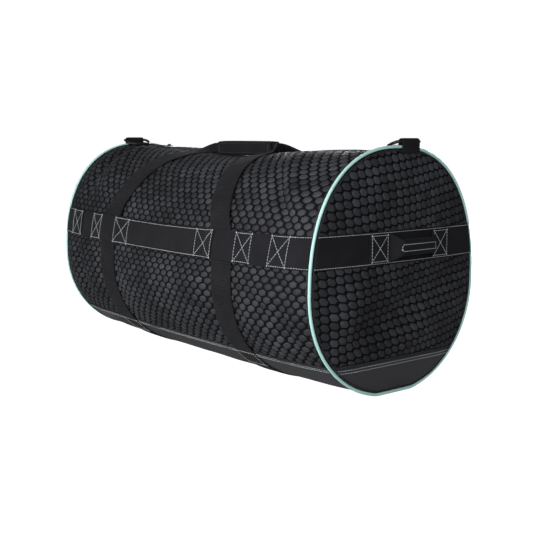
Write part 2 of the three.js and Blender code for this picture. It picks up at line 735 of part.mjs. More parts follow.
// The ring lies inboard of its bar, tilted down until it rests just clear of the crown.
function strapRing({ side, word, tabShift }) {
  const plan = ringPlan();
  const bar = new THREE.Vector3(side * halfLength, tabShift, endHeight + barRise);
  const rise = ({ x, y }) => {
    const spot = new THREE.Vector2(bar.x - side * y, -tabShift - x);
    const top = onMesh(spot.x, spot.y, coilRise).z;
    return y > ringDepth / 2 ? (bar.z - ringWire - gap - top) / y : 1;
  };
  const tilt = Math.asin(min(...plan.map(rise)));
  const inboard = new THREE.Vector3(-side * cos(tilt), 0, -sin(tilt));
  const up = new THREE.Vector3(-side * sin(tilt), 0, cos(tilt));
  const frames = plan.map((point, i) => {
    const before = point.clone().sub(plan[(i + plan.length - 1) % plan.length]).normalize();
    const after = plan[(i + 1) % plan.length].clone().sub(point).normalize();
    const along = before.clone().add(after).normalize();
    const out = new THREE.Vector3(0, along.y, 0).addScaledVector(inboard, -along.x);
    const centre = bar.clone().addScaledVector(inboard, point.y);
    centre.y += point.x;
    return { centre, out, up, mitre: 1 / along.dot(after) };
  });
  addPiece(`strap_ring_${word}`, loopBody(frames, ringWire, 8), "ring");
}

meshPanels();
basePanel();
zipPieces();
beltPieces();
bodyStraps();
carryHandles();
for (const end of ends) {
  endPanels(end);
  grabHandle(end);
  ringTab(end);
  strapRing(end);
}

export default bag;
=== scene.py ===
from functools import partial
from math import asin, cos, pi, radians, sin

import bpy
import numpy as np
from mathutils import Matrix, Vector


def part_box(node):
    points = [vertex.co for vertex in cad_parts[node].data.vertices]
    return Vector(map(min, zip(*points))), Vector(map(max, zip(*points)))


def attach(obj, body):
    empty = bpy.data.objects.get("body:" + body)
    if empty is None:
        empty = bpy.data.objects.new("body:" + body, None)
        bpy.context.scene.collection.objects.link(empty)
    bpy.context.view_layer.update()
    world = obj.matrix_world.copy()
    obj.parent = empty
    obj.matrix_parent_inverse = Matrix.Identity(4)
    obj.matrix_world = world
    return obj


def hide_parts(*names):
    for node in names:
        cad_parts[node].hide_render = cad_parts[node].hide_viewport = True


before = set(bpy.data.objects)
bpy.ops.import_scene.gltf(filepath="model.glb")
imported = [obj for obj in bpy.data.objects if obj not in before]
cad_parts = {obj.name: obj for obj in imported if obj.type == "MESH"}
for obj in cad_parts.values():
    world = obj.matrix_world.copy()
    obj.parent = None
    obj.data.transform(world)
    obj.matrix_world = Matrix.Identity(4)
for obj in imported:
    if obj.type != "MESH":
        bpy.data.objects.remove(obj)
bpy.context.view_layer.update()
mm = 0.001
print("frame loaded with", len(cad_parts), "nodes")


def addObject(name, data):
    made = bpy.data.objects.new(name, data)
    bpy.context.collection.objects.link(made)
    return made


def aim(thing, place, direction):
    thing.location = place
    thing.rotation_euler = Vector(direction).to_track_quat("-Z", "Y").to_euler()


# Camera at the photograph's viewing angle
camera = {
    "place": (1.3888, -1.0626, 0.3984), "look": (-0.7748, 0.6170, -0.1356),
    "lens": 64.65, "sensor": 36, "reach": 50,
}
cameraData = bpy.data.cameras.new("camera")
cameraData.lens = camera["lens"]
cameraData.sensor_width = camera["sensor"]
cameraData.clip_end = camera["reach"]
bpy.context.scene.camera = addObject("camera", cameraData)
aim(bpy.context.scene.camera, camera["place"], camera["look"])

# Sizes shared with the solids, in millimetres
bag = {
    "length": 747, "endWidth": 351, "endHeight": 381, "widestHeight": 169,
    "crownPower": 2.34, "basePower": 2.06, "sideSwell": 17, "crownSag": 21, "baseSag": 5,
    "pillow": 5, "pillowRamp": 26, "endBulge": 10, "endRoom": 0.8, "meshWall": 2, "baseWall": 2, "gap": 0.3,
    "pipingRadius": 3, "pipingOut": 0.5, "webWidth": 50.8, "web": 1.8, "beltHeight": 231.5,
    "strapAt": 180, "seamHeight": 57, "webRamp": 12, "baseFlat": 44,
}
zipper = {
    "half": 16, "tape": 1.2, "coilRise": 1.4, "coilMiddle": 0.55, "toothPitch": 2.6,
    "toothLength": 0.9, "toothWide": 3.2, "toothTall": 0.75,
    "sliderAt": -262, "sliderLength": 13, "sliderWidth": 10, "sliderLift": 0.6,
    "pullLength": 30, "pullWidth": 7, "pullThickness": 1.6, "pullTip": 4.2,
}
ends = [
    {"side": 1, "word": "right", "tabShift": 24, "grabShift": 18},
    {"side": -1, "word": "left", "tabShift": -14, "grabShift": 0},
]
facings = ((1, "front"), (-1, "back"))
halfLength = bag["length"] / 2
halfWidth = bag["endWidth"] / 2
halfWeb = bag["webWidth"] / 2
gap = bag["gap"]
web = bag["web"]
widest = bag["widestHeight"]

# along each half of the bag: share of its half length, of the crown's sag and of the side's swell
stations = np.array([
    (0, 1, 1), (0.25, 0.95, 0.98), (0.5, 0.74, 0.9), (0.7, 0.58, 0.74),
    (0.85, 0.36, 0.5), (0.94, 0.14, 0.26), (1, 0, 0),
])
# the stuffed crown stands over the taut form between the wrap and the rings: share of half length, rise
crownRise = np.array([(0, 0), (0.2, 2.5), (0.4, 6), (0.6, 7), (0.75, 5), (0.86, 1), (0.92, 0), (1, 0)])

# one side of the end outline, from the crown to the middle of the base
angles = np.linspace(0, pi, 721)
powers = np.where(angles <= pi / 2, 2 / bag["crownPower"], 2 / bag["basePower"])
depths = np.where(angles <= pi / 2, bag["endHeight"] - widest, widest)
outlineOut = halfWidth * np.abs(np.sin(angles)) ** powers
outlineUp = widest + depths * np.sign(np.cos(angles)) * np.abs(np.cos(angles)) ** powers
outlineArc = np.concatenate([[0], np.cumsum(np.hypot(np.diff(outlineOut), np.diff(outlineUp)))])
halfGirth = outlineArc[-1]


def arcAtHeight(z):
    return np.interp(-np.asarray(z, float), -outlineUp, outlineArc)


beltArc = arcAtHeight(bag["beltHeight"])
seamArc = arcAtHeight(bag["seamHeight"])
beltTop = beltArc - halfWeb
beltFoot = beltArc + halfWeb
baseFlat = halfGirth - bag["baseFlat"]
wallEnd = halfLength - bag["pipingRadius"] - gap
strapInner = bag["strapAt"] - halfWeb
strapOuter = bag["strapAt"] + halfWeb

# folds of the mesh: place along and across as shares of wide and tall, run, breadth, turn in degrees, rise
bodyFolds = {"wide": halfLength, "tall": halfGirth, "rows": [
    (0.78, 0.3, 0.2, 0.035, 48, -1.1), (0.72, 0.22, 0.2, 0.06, 48, 0.9), (0.84, 0.5, 0.14, 0.035, 52, -1),
    (0.7, 0.58, 0.16, 0.05, 35, -0.7), (0.86, 0.64, 0.15, 0.04, 80, -0.9), (-0.82, 0.22, 0.22, 0.035, 84, -1),
    (-0.68, 0.2, 0.24, 0.05, 76, 0.8), (-0.8, 0.56, 0.18, 0.045, 72, -0.8), (-0.1, 0.2, 0.4, 0.08, 6, 0.5),
    (0.05, 0.56, 0.4, 0.07, -5, 0.5), (0.8, -0.28, 0.2, 0.04, -50, -1), (-0.78, -0.3, 0.2, 0.04, 50, -1),
    (0.1, -0.55, 0.35, 0.07, 8, 0.6),
]}
endFolds = {"wide": halfWidth, "tall": bag["endHeight"], "rows": [
    (0.12, 0.36, 0.75, 0.13, 24, -0.7), (0.3, 0.25, 0.6, 0.13, 22, 0.45),
    (-0.42, 0.44, 0.4, 0.16, 35, 0.45), (0.1, 0.78, 0.5, 0.16, 80, 0.3),
]}


def unit(vectors):
    return vectors / np.linalg.norm(vectors, axis=-1, keepdims=True)


def smoothStep(t):
    return t * t * (3 - 2 * t)


# grows from 0 towards 1 over a ramp
def away(distance, ramp):
    return 1 - np.exp(-((np.maximum(distance, 0) / ramp) ** 2))


# smooth curve through the rows of a table, its columns counted from 1
def column(rows, at, number):
    place = rows[:, 0]
    value = rows[:, number]
    at = np.clip(np.asarray(at, float), place[0], place[-1])
    last = len(place) - 1
    i = np.clip(np.searchsorted(place, at, side="right") - 1, 0, last - 1)
    before = np.maximum(i - 1, 0)
    after = np.minimum(i + 2, last)
    fromSlope = (value[i + 1] - value[before]) / (place[i + 1] - place[before])
    toSlope = (value[after] - value[i]) / (place[after] - place[i])
    step = place[i + 1] - place[i]
    t = (at - place[i]) / step
    rise = value[i] * (1 + 2 * t) * (1 - t) ** 2 + fromSlope * step * t * (1 - t) ** 2
    return rise + value[i + 1] * t * t * (3 - 2 * t) + toSlope * step * t * t * (t - 1)


def offStrap(x):
    return np.abs(np.abs(x) - bag["strapAt"]) - halfWeb


def floorLift(x):
    overStrap = 1 - away(offStrap(x) - gap, bag["webRamp"])
    overPiping = 1 - away(wallEnd - np.abs(x), bag["webRamp"] * 2)
    return np.maximum((web + gap) * overStrap, (bag["pipingRadius"] + bag["pipingOut"]) * overPiping)


# the taut skin that the webbing lies on; s is the way round from the crown, positive at the front
def skin(x, s):
    x, s = np.broadcast_arrays(np.asarray(x, float), np.asarray(s, float))
    at = np.minimum(np.abs(x) / halfLength, 1)
    sag = bag["crownSag"] * column(stations, at, 1)
    swell = bag["sideSwell"] * column(stations, at, 2)
    arc = np.minimum(np.abs(s), halfGirth)
    y = -np.sign(s) * np.interp(arc, outlineArc, outlineOut)
    z = np.interp(arc, outlineArc, outlineUp)
    crown = 1 - sag / (bag["endHeight"] - widest)
    base = 1 + bag["baseSag"] / widest * sag / bag["crownSag"]
    share = np.clip((z - widest) / (bag["endHeight"] - widest), 0, 1)
    tall = widest + (z - widest) * np.where(z > widest, crown, base) + column(crownRise, at, 1) * share**2
    return np.stack([x, y * (1 + swell / halfWidth), np.maximum(tall, floorLift(x))], -1)


# which way a surface of x and s faces; x keeps within limit
def normalOf(surface, x, s, step, limit):
    inside = np.clip(x, step - limit, limit - step)
    along = surface(inside + step, s) - surface(inside - step, s)
    around = surface(x, s + step) - surface(x, s - step)
    return unit(np.cross(around, along))


def skinNormal(x, s):
    x, s = np.broadcast_arrays(np.asarray(x, float), np.asarray(s, float))
    return normalOf(skin, x, s, 0.5, halfLength)


def onSkin(x, s, off):
    x, s, off = np.broadcast_arrays(*(np.asarray(value, float) for value in (x, s, off)))
    return skin(x, s) + skinNormal(x, s) * off[..., None]


# each fold's turn, the place in it along and across, and its rise
def eachFold(folds, u, v):
    for x, y, run, breadth, degrees, rise in folds["rows"]:
        turn = radians(degrees)
        du, dv = u - x * folds["wide"], v - y * folds["tall"]
        along = (du * cos(turn) + dv * sin(turn)) / (run * folds["wide"])
        across = (dv * cos(turn) - du * sin(turn)) / (breadth * folds["wide"])
        yield turn, along, across, rise


def foldHeights(folds, u, v):
    return [rise * np.exp(-(along**4) - across**2) for turn, along, across, rise in eachFold(folds, u, v)]


# flat coordinates of the cloth, drawn together where folds gather it
def gathered(folds, u, v, flatU, flatV, facing=1):
    for turn, along, across, rise in eachFold(folds, u, v):
        shift = netting["gather"] * abs(rise) * np.tanh(across) * np.exp(-(along**4))
        flatU = flatU - sin(turn) * shift
        flatV = flatV + facing * cos(turn) * shift
    return flatU, flatV


# how far the mesh stands out from the taut skin
def puff(x, s, gain=1.0):
    x, s = np.broadcast_arrays(np.asarray(x, float), np.asarray(s, float))
    arc = np.abs(s)
    ramp = bag["pillowRamp"]
    offBelt = away(np.abs(arc - beltArc) - halfWeb, ramp)
    overStrap = np.where(arc > beltArc, away(offStrap(x), ramp), 1)
    offEnds = away(halfLength - np.abs(x), ramp)
    offSeams = away(np.minimum(arc - zipper["half"], seamArc - arc), ramp)
    height = np.ones_like(x)
    for rise in foldHeights(bodyFolds, x, s):
        height = height + gain * rise
    return bag["pillow"] * height * offBelt * overStrap * offEnds * offSeams


# half width of the end outline at a height
def outlineAt(z):
    arc = arcAtHeight(np.clip(z, 1, bag["endHeight"] - 1))
    return np.interp(arc, outlineArc, outlineOut)


# outer face of an end panel at a point of its plane
def endFace(side, y, z):
    y, z = np.broadcast_arrays(np.asarray(y, float), np.asarray(z, float))
    middle = bag["endHeight"] / 2
    reach = np.maximum(np.abs(y) / outlineAt(z), np.abs(z - middle) / middle)
    bulge = 1 - np.minimum(reach, 1) ** (1 / (1 - bag["endRoom"]) / 2)
    offBelt = away(np.abs(z - bag["beltHeight"]) - halfWeb, bag["pillowRamp"])
    offSeam = away(np.abs(z - bag["seamHeight"]), bag["pillowRamp"] / 2)
    room = away((1 - reach) * halfWidth, bag["pillowRamp"])
    out = bag["endBulge"] * (bulge + sum(foldHeights(endFolds, y, z)) * offBelt * offSeam * room)
    return np.stack([side * (halfLength + bag["meshWall"] / 2 + out), y, z], -1)


# Node groups
def feed(tree, node, inputs):
    for key, value in inputs.items():
        if isinstance(value, bpy.types.NodeSocket):
            tree.links.new(value, node.inputs[key])
        else:
            node.inputs[key].default_value = value


# adds a node and gives back its outputs
def addNode(tree, kind, inputs=None, **settings):
    node = tree.nodes.new(kind)
    for key, value in settings.items():
        setattr(node, key, value)
    feed(tree, node, inputs or {})
    return node.outputs


def calc(tree, operation, *values, clamp=False):
    return addNode(tree, "ShaderNodeMath", dict(enumerate(values)), operation=operation, use_clamp=clamp)[0]


def noise(tree, vector, scale, detail, roughness=0.5):
    values = {"Vector": vector, "Scale": scale, "Detail": detail, "Roughness": roughness}
    return addNode(tree, "ShaderNodeTexNoise", values)[0]


def mapRange(tree, value, fromLow, fromHigh, toLow, toHigh):
    values = {"Value": value, "From Min": fromLow, "From Max": fromHigh, "To Min": toLow, "To Max": toHigh}
    return addNode(tree, "ShaderNodeMapRange", values)[0]


def newGroup(kind, name, inputs, outputs):
    group = bpy.data.node_groups.new(name, kind)
    for way, sockets in (("INPUT", inputs), ("OUTPUT", outputs)):
        for label, sort, *value in sockets:
            socket = group.interface.new_socket(label, in_out=way, socket_type="NodeSocket" + sort)
            if value:
                socket.default_value = value[0]
    return group, group.nodes.new("NodeGroupInput").outputs, group.nodes.new("NodeGroupOutput").inputs


# woven ribs across a band: U runs along the band in metres, V across it
def ribGroup():
    group, given, result = newGroup("ShaderNodeTree", "ribWeave", [
        ("Vector", "Vector"), ("Rib pitch", "Float", 0.0016), ("Yarn pitch", "Float", 0.0011),
        ("Stagger", "Float", 0.5), ("Fuzz", "Float", 0.5),
    ], [("Height", "Float"), ("Shade", "Float")])
    do = partial(calc, group)
    split = addNode(group, "ShaderNodeSeparateXYZ", {0: given["Vector"]})
    turns = do("DIVIDE", split[0], given["Rib pitch"])
    yarns = do("DIVIDE", split[1], given["Yarn pitch"])
    half = do("MULTIPLY", do("FLOOR", yarns), given["Stagger"])
    rib = do("SINE", do("MULTIPLY", do("ADD", turns, half), 2 * pi))
    yarn = do("ABSOLUTE", do("SINE", do("MULTIPLY", yarns, pi)))
    woven = do("MULTIPLY", do("ADD", do("MULTIPLY", rib, 0.5), 0.5), yarn)
    fuzz = do("MULTIPLY", noise(group, given["Vector"], 900, 2), given["Fuzz"])
    worn = do("MULTIPLY", noise(group, given["Vector"], 28, 4), 0.6)
    group.links.new(do("ADD", woven, fuzz), result["Height"])
    group.links.new(do("ADD", do("MULTIPLY", woven, 0.4), worn, clamp=True), result["Shade"])
    return group


# fine grain with broad, soft patches of wear
def grainGroup():
    group, given, result = newGroup("ShaderNodeTree", "clothGrain", [
        ("Vector", "Vector"), ("Fine scale", "Float", 1500.0), ("Patch scale", "Float", 12.0),
    ], [("Height", "Float"), ("Shade", "Float"), ("Patch", "Float")])
    fine = noise(group, given["Vector"], given["Fine scale"], 3)
    patch = noise(group, given["Vector"], given["Patch scale"], 5, 0.6)
    parts = calc(group, "MULTIPLY", fine, 0.4), calc(group, "MULTIPLY", patch, 0.6)
    shade = calc(group, "ADD", *parts, clamp=True)
    for label, value in (("Height", fine), ("Shade", shade), ("Patch", patch)):
        group.links.new(value, result[label])
    return group


ribWeave = ribGroup()
clothGrain = grainGroup()


# Materials: colour between a dark and a light tone, and a bump, both from one group's outputs
def newMaterial(name, group, space, settings, dark, light, bump, strength, roughness,
                metallic=0.0, sheen=0.0, specular=0.5):
    made = bpy.data.materials.new(name)
    made.use_nodes = True
    tree = made.node_tree
    vector = addNode(tree, "ShaderNodeTexCoord")[space]
    effect = addNode(tree, "ShaderNodeGroup", {"Vector": vector, **settings}, node_tree=group)
    share = mapRange(tree, effect["Shade"], 0.25, 0.75, 0, 1)
    tones = {"Factor": share, "A": (*dark, 1), "B": (*light, 1)}
    colour = addNode(tree, "ShaderNodeMix", tones, data_type="RGBA")["Result"]
    values = {"Height": effect["Height"], "Distance": bump, "Strength": strength}
    rise = addNode(tree, "ShaderNodeBump", values)
    shader = tree.nodes["Principled BSDF"]
    feed(tree, shader, {
        "Base Color": colour, "Normal": rise[0], "Roughness": roughness, "Metallic": metallic,
        "Sheen Weight": sheen, "Sheen Roughness": 0.4, "Specular IOR Level": specular,
    })
    return made, tree, shader, effect, colour, vector


def webbing(name, dark, light, rib=0.0018, yarn=0.0013, bump=0.00035, stagger=0.5):
    settings = {"Rib pitch": rib, "Yarn pitch": yarn, "Stagger": stagger, "Fuzz": 0.5}
    return newMaterial(name, ribWeave, "UV", settings, dark, light, bump, 0.6, 0.8,
                       sheen=0.03, specular=0.12)[0]


# the broad patches are rougher and smoother too
def grain(name, dark, light, roughness, fine=1500.0, patch=12.0, bump=0.0002, strength=0.5, **more):
    settings = {"Fine scale": fine, "Patch scale": patch}
    made, tree, shader, effect, *_ = newMaterial(
        name, clothGrain, "Object", settings, dark, light, bump, strength, roughness, **more)
    rough = mapRange(tree, effect["Patch"], 0, 1, roughness - 0.08, roughness + 0.1)
    feed(tree, shader, {"Roughness": rough})
    return made


# each cell of the puffed cloth has its own tone, and broad noise paints lighter and darker patches over it as
# painted light and shade of bulges and folds
def puffed():
    made, tree, shader, _, colour, vector = newMaterial(
        "puffCloth", clothGrain, "Object", {"Fine scale": 1900.0, "Patch scale": 16.0},
        (0.0138, 0.0141, 0.0168), (0.0345, 0.0362, 0.041), 0.0003, 0.5, 0.55, sheen=0.02, specular=0.16)
    tone = addNode(tree, "ShaderNodeAttribute", attribute_name="tone")["Fac"]
    cell = mapRange(tree, tone, 0, 1, 0.68, 1.32)
    # painted light and shade: broad noise makes the cloth's colour lighter and darker in patches, standing in for
    # the shading of bulges and folds
    wide = mapRange(tree, noise(tree, vector, 10, 1), 0.3, 0.7, 0.62, 1.38)
    cellToneAndPaintedShade = calc(tree, "MULTIPLY", cell, wide)
    shade = addNode(tree, "ShaderNodeVectorMath", {0: colour, "Scale": cellToneAndPaintedShade}, operation="SCALE")
    feed(tree, shader, {"Base Color": shade[0]})
    return made


looks = {
    "puff": puffed(),
    "strand": grain("netStrand", (0.003, 0.003, 0.0038), (0.0055, 0.0055, 0.007), 0.65, fine=2500,
                    bump=0.0003, specular=0.05),
    "meshBack": grain("meshBackCloth", (0.006, 0.006, 0.007), (0.01, 0.01, 0.012), 0.7, fine=2000,
                      specular=0.15),
    "coated": grain("coatedCloth", (0.026, 0.026, 0.0305), (0.037, 0.037, 0.0425), 0.5, fine=2200, patch=9,
                    bump=0.00015, specular=0.3),
    "binding": grain("seamBinding", (0.010, 0.010, 0.012), (0.020, 0.021, 0.023), 0.5, fine=1800, patch=20,
                     specular=0.25),
    "webbing": webbing("beltWebbing", (0.006, 0.006, 0.0078), (0.0135, 0.0135, 0.0165)),
    "strapWeb": webbing("strapWebbing", (0.005, 0.005, 0.006), (0.0145, 0.0143, 0.0165), rib=0.0037,
                        yarn=0.0021, bump=0.0009, stagger=0.0),
    "labelWeb": webbing("labelCloth", (0.007, 0.007, 0.008), (0.0135, 0.0135, 0.015), rib=0.0009,
                        yarn=0.0006, bump=0.0001),
    "zipTape": webbing("zipTape", (0.007, 0.007, 0.008), (0.013, 0.013, 0.014), rib=0.001, yarn=0.0007),
    "piping": grain("paleGreenVinyl", (0.34, 0.585, 0.55), (0.42, 0.68, 0.64), 0.42, fine=900, patch=14,
                    bump=0.00012, strength=0.35),
    "thread": grain("greyThread", (0.24, 0.27, 0.27), (0.40, 0.44, 0.44), 0.6, fine=3000, patch=40,
                    sheen=0.2),
    "metal": grain("blackMetal", (0.009, 0.009, 0.010), (0.018, 0.018, 0.020), 0.46, fine=700, patch=60,
                   bump=0.00005, strength=0.3, metallic=0.4, specular=0.4),
    "plastic": grain("blackPlastic", (0.007, 0.007, 0.008), (0.013, 0.013, 0.015), 0.42, fine=1200, patch=30,
                     specular=0.3),
}
print("materials made:", len(looks))


# Mesh helpers; points are in millimetres
def newObject(name, points, faces, look=None, smooth=True, uv=None):
    mesh = bpy.data.meshes.new(name)
    mesh.from_pydata((np.asarray(points, float) * mm).tolist(), [], [tuple(face) for face in faces])
    mesh.validate()
    mesh.update()
    made = addObject(name, mesh)
    if look:
        mesh.materials.append(looks[look])
    mesh.polygons.foreach_set("use_smooth", [smooth] * len(mesh.polygons))
    if uv is not None:
        layer = mesh.uv_layers.new(name="cloth")
        corner = readArray(mesh.loops, "vertex_index", 1, np.int32)
        layer.data.foreach_set("uv", np.asarray(uv, float)[corner].ravel())
    return made


def readArray(items, name, width=3, kind=float):
    values = np.empty(len(items) * width, kind)
    items.foreach_get(name, values)
    return values.reshape(-1, width) if width > 1 else values


def register(made, body="bag", replaces=(), slot=None):
    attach(made, body)
    if replaces:
        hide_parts(*replaces)
    return made


def gridFaces(rows, columns, start=0, flip=False):
    corners = [start + i * columns + j for i in range(rows - 1) for j in range(columns - 1)]
    turned = -1 if flip else 1
    return [(a, a + columns, a + columns + 1, a + 1)[::turned] for a in corners]


# quads round a run of rings of points
def ringFaces(rings, sides, closed=False):
    faces = []
    for i in range(rings if closed else rings - 1):
        here, there = i * sides, (i + 1) % rings * sides
        for k in range(sides):
            following = (k + 1) % sides
            faces.append((here + k, here + following, there + following, there + k))
    return faces


def capFaces(rings, sides):
    last = (rings - 1) * sides
    return [range(sides)[::-1], range(last, last + sides)]


def faceOutwards(made):
    mesh = made.data
    mesh.calc_loop_triangles()
    corners = readArray(mesh.loop_triangles, "vertices", 3, np.int32)
    a, b, c = readArray(mesh.vertices, "co")[corners].transpose(1, 0, 2)
    if np.einsum("ij,ij->", a, np.cross(b, c)) < 0:
        mesh.flip_normals()


# a closed band of cloth from two grids, outer and inner, joined round their edges
def closedWall(name, outer, inner, look, uvOuter=None, **more):
    rows, columns = outer.shape[:2]
    count = rows * columns
    faces = gridFaces(rows, columns) + gridFaces(rows, columns, count, flip=True)
    rim = [(i, 0) for i in range(rows)] + [(rows - 1, j) for j in range(1, columns)]
    rim += [(i, columns - 1) for i in range(rows - 2, -1, -1)] + [(0, j) for j in range(columns - 2, 0, -1)]
    edge = [i * columns + j for i, j in rim]
    faces += [(b, a, a + count, b + count) for a, b in zip(edge, edge[1:] + edge[:1])]
    uv = None if uvOuter is None else np.concatenate([uvOuter.reshape(-1, 2)] * 2)
    made = newObject(name, np.concatenate([outer.reshape(-1, 3), inner.reshape(-1, 3)]), faces, look, uv=uv)
    faceOutwards(made)
    return register(made, **more)


# a strip of webbing: place(u, v, off) gives points for v from -1 to 1 across it; its edges are rounded
def webStrip(name, along, place, width, thickness=web, look="webbing", columns=9, **more):
    v = np.sin(np.linspace(-pi / 2, pi / 2, columns))
    u = np.asarray(along, float)
    grid = np.broadcast_to(u[:, None], (len(u), columns))
    sides = np.broadcast_to(v[None, :], (len(u), columns))
    round = 0.5 * thickness * (0.35 + 0.65 * np.sqrt(np.maximum(1 - np.abs(sides) ** 10, 0)))
    outer = place(grid, sides, round)
    inner = place(grid, sides, -round)
    middle = place(grid, sides, np.zeros_like(round))[:, columns // 2]
    run = np.concatenate([[0], np.cumsum(np.linalg.norm(np.diff(middle, axis=0), axis=1))]) * mm
    uv = np.stack([np.broadcast_to(run[:, None], grid.shape), sides * width / 2 * mm], -1)
    return closedWall(name, outer, inner, look, uv, slot="webbing", **more)


# round cord or wire along a closed or open run of points
def tube(name, centres, radius, look, sides, ups, closed=True, **more):
    ahead = np.roll(centres, -1, 0) - np.roll(centres, 1, 0) if closed else np.gradient(centres, axis=0)
    tangent = unit(ahead)
    up = np.broadcast_to(np.asarray(ups, float), centres.shape)
    up = unit(up - tangent * np.einsum("ij,ij->i", up, tangent)[:, None])
    out = np.cross(tangent, up)
    turn = 2 * pi * np.arange(sides) / sides
    ring = out[:, None] * np.cos(turn)[None, :, None] + up[:, None] * np.sin(turn)[None, :, None]
    faces = ringFaces(len(centres), sides, closed)
    if not closed:
        faces += capFaces(len(centres), sides)
    made = newObject(name, (centres[:, None] + ring * radius).reshape(-1, 3), faces, look)
    faceOutwards(made)
    return register(made, **more)


# a small closed body of rings along x, for teeth and stitches
def bead(name, profile, sides, length, wide, tall):
    turn = 2 * pi * np.arange(sides) / sides
    rings = [np.stack([np.full(sides, x * length), np.cos(turn) * r * wide, np.sin(turn) * r * tall], -1)
             for x, r in profile]
    faces = ringFaces(len(rings), sides) + capFaces(len(rings), sides)
    made = newObject(name, np.concatenate(rings), faces)
    faceOutwards(made)
    return made


# Geometry Nodes: lays tiles on a flat form and carries them to the places stored in the form
def netTree():
    tree, given, result = newGroup("GeometryNodeTree", "hexagonNet", [
        ("Geometry", "Geometry"), ("Tile", "Object"), ("Count", "Int", 100), ("Row length", "Int", 10),
        ("Cell pitch", "Float", 0.02), ("Row pitch", "Float", 0.0104), ("Row shift", "Float", 0.0113),
        ("Start", "Vector", (0, 0, 0)), ("Turn", "Float", 0.0), ("Reach", "Float", 0.011), ("Seed", "Int", 1),
        ("Strand", "Material"), ("Puff", "Material"),
    ], [("Geometry", "Geometry")])
    add, do, form = partial(addNode, tree), partial(calc, tree), given["Geometry"]
    here = add("GeometryNodeInputPosition")[0]
    index = add("GeometryNodeInputIndex")[0]
    row = do("FLOOR", do("DIVIDE", index, given["Row length"]))
    along = do("SUBTRACT", index, do("MULTIPLY", row, given["Row length"]))
    slide = do("MODULO", do("MULTIPLY", row, given["Row shift"]), given["Cell pitch"])
    flatX = do("ADD", do("MULTIPLY", along, given["Cell pitch"]), slide)
    spot = add("ShaderNodeCombineXYZ", {"X": flatX, "Y": do("MULTIPLY", row, given["Row pitch"])})[0]
    begun = add("ShaderNodeVectorMath", {0: spot, 1: given["Start"]}, operation="ADD")[0]
    values = {"Vector": begun, "Angle": given["Turn"]}
    turned = add("ShaderNodeVectorRotate", values, rotation_type="Z_AXIS")[0]
    points = add("GeometryNodePoints", {"Count": given["Count"]})[0]
    laid = add("GeometryNodeSetPosition", {"Geometry": points, "Position": turned})[0]
    near = add("GeometryNodeProximity", {0: form, "Sample Position": here}, target_element="FACES")
    far = do("GREATER_THAN", near["Distance"], given["Reach"])
    culled = add("GeometryNodeDeleteGeometry", {"Geometry": laid, "Selection": far}, domain="POINT")[0]
    chance = add("FunctionNodeRandomValue", {"Seed": given["Seed"]}, data_type="FLOAT")[1]
    toned = add("GeometryNodeStoreNamedAttribute", {"Geometry": culled, "Name": "tone", "Value": chance},
                data_type="FLOAT", domain="POINT")[0]
    tile = add("GeometryNodeObjectInfo", {"Object": given["Tile"]})["Geometry"]
    angle = add("ShaderNodeCombineXYZ", {"Z": given["Turn"]})[0]
    spread = add("GeometryNodeInstanceOnPoints", {"Points": toned, "Instance": tile, "Rotation": angle})[0]
    real = add("GeometryNodeRealizeInstances", {0: spread})[0]
    split = add("ShaderNodeSeparateXYZ", {0: here})
    flat = add("ShaderNodeCombineXYZ", {"X": split[0], "Y": split[1]})[0]
    edge = add("GeometryNodeProximity", {0: form, "Sample Position": flat}, target_element="FACES")
    rise = do("MULTIPLY", split[2], do("LESS_THAN", edge["Distance"], 1e-5))
    carried = []
    for name in ("place", "out"):
        stored = add("GeometryNodeInputNamedAttribute", {"Name": name}, data_type="FLOAT_VECTOR")[0]
        values = {"Mesh": form, "Value": stored, "Sample Position": edge["Position"]}
        carried.append(add("GeometryNodeSampleNearestSurface", values, data_type="FLOAT_VECTOR")[0])
    lifted = add("ShaderNodeVectorMath", {0: carried[1], "Scale": rise}, operation="SCALE")[0]
    landed = add("ShaderNodeVectorMath", {0: carried[0], 1: lifted}, operation="ADD")[0]
    moved = add("GeometryNodeSetPosition", {"Geometry": real, "Position": landed})[0]
    merged = add("GeometryNodeMergeByDistance", {"Geometry": moved, "Distance": 4e-5})[0]
    smooth = add("GeometryNodeSetShadeSmooth", {"Geometry": merged})[0]
    strand = add("GeometryNodeInputNamedAttribute", {"Name": "strand"}, data_type="BOOLEAN")[0]
    cells = add("GeometryNodeSetMaterial", {"Geometry": smooth, "Material": given["Puff"]})[0]
    netted = add("GeometryNodeSetMaterial",
                 {"Geometry": cells, "Selection": strand, "Material": given["Strand"]})[0]
    tree.links.new(netted, result[0])
    return tree


# sets one small shape after another along the lines of a mesh
def rowTree():
    tree, given, result = newGroup("GeometryNodeTree", "rowOfShapes", [
        ("Geometry", "Geometry"), ("Shape", "Object"), ("Pitch", "Float", 0.0045), ("Look", "Material"),
    ], [("Geometry", "Geometry")])
    add = partial(addNode, tree)
    curve = add("GeometryNodeMeshToCurve", {"Mesh": given["Geometry"]})[0]
    spaced = add("GeometryNodeResampleCurve", {"Curve": curve, "Length": given["Pitch"]}, mode="LENGTH")[0]
    tangent = add("GeometryNodeInputTangent")[0]
    facing = add("FunctionNodeAlignRotationToVector", {"Vector": tangent}, axis="X")[0]
    shape = add("GeometryNodeObjectInfo", {"Object": given["Shape"]})["Geometry"]
    spread = add("GeometryNodeInstanceOnPoints", {"Points": spaced, "Instance": shape, "Rotation": facing})[0]
    real = add("GeometryNodeRealizeInstances", {0: spread})[0]
    smooth = add("GeometryNodeSetShadeSmooth", {"Geometry": real})[0]
    done = add("GeometryNodeSetMaterial", {"Geometry": smooth, "Material": given["Look"]})[0]
    tree.links.new(done, result[0])
    return tree


hexagonNet = netTree()
rowOfShapes = rowTree()


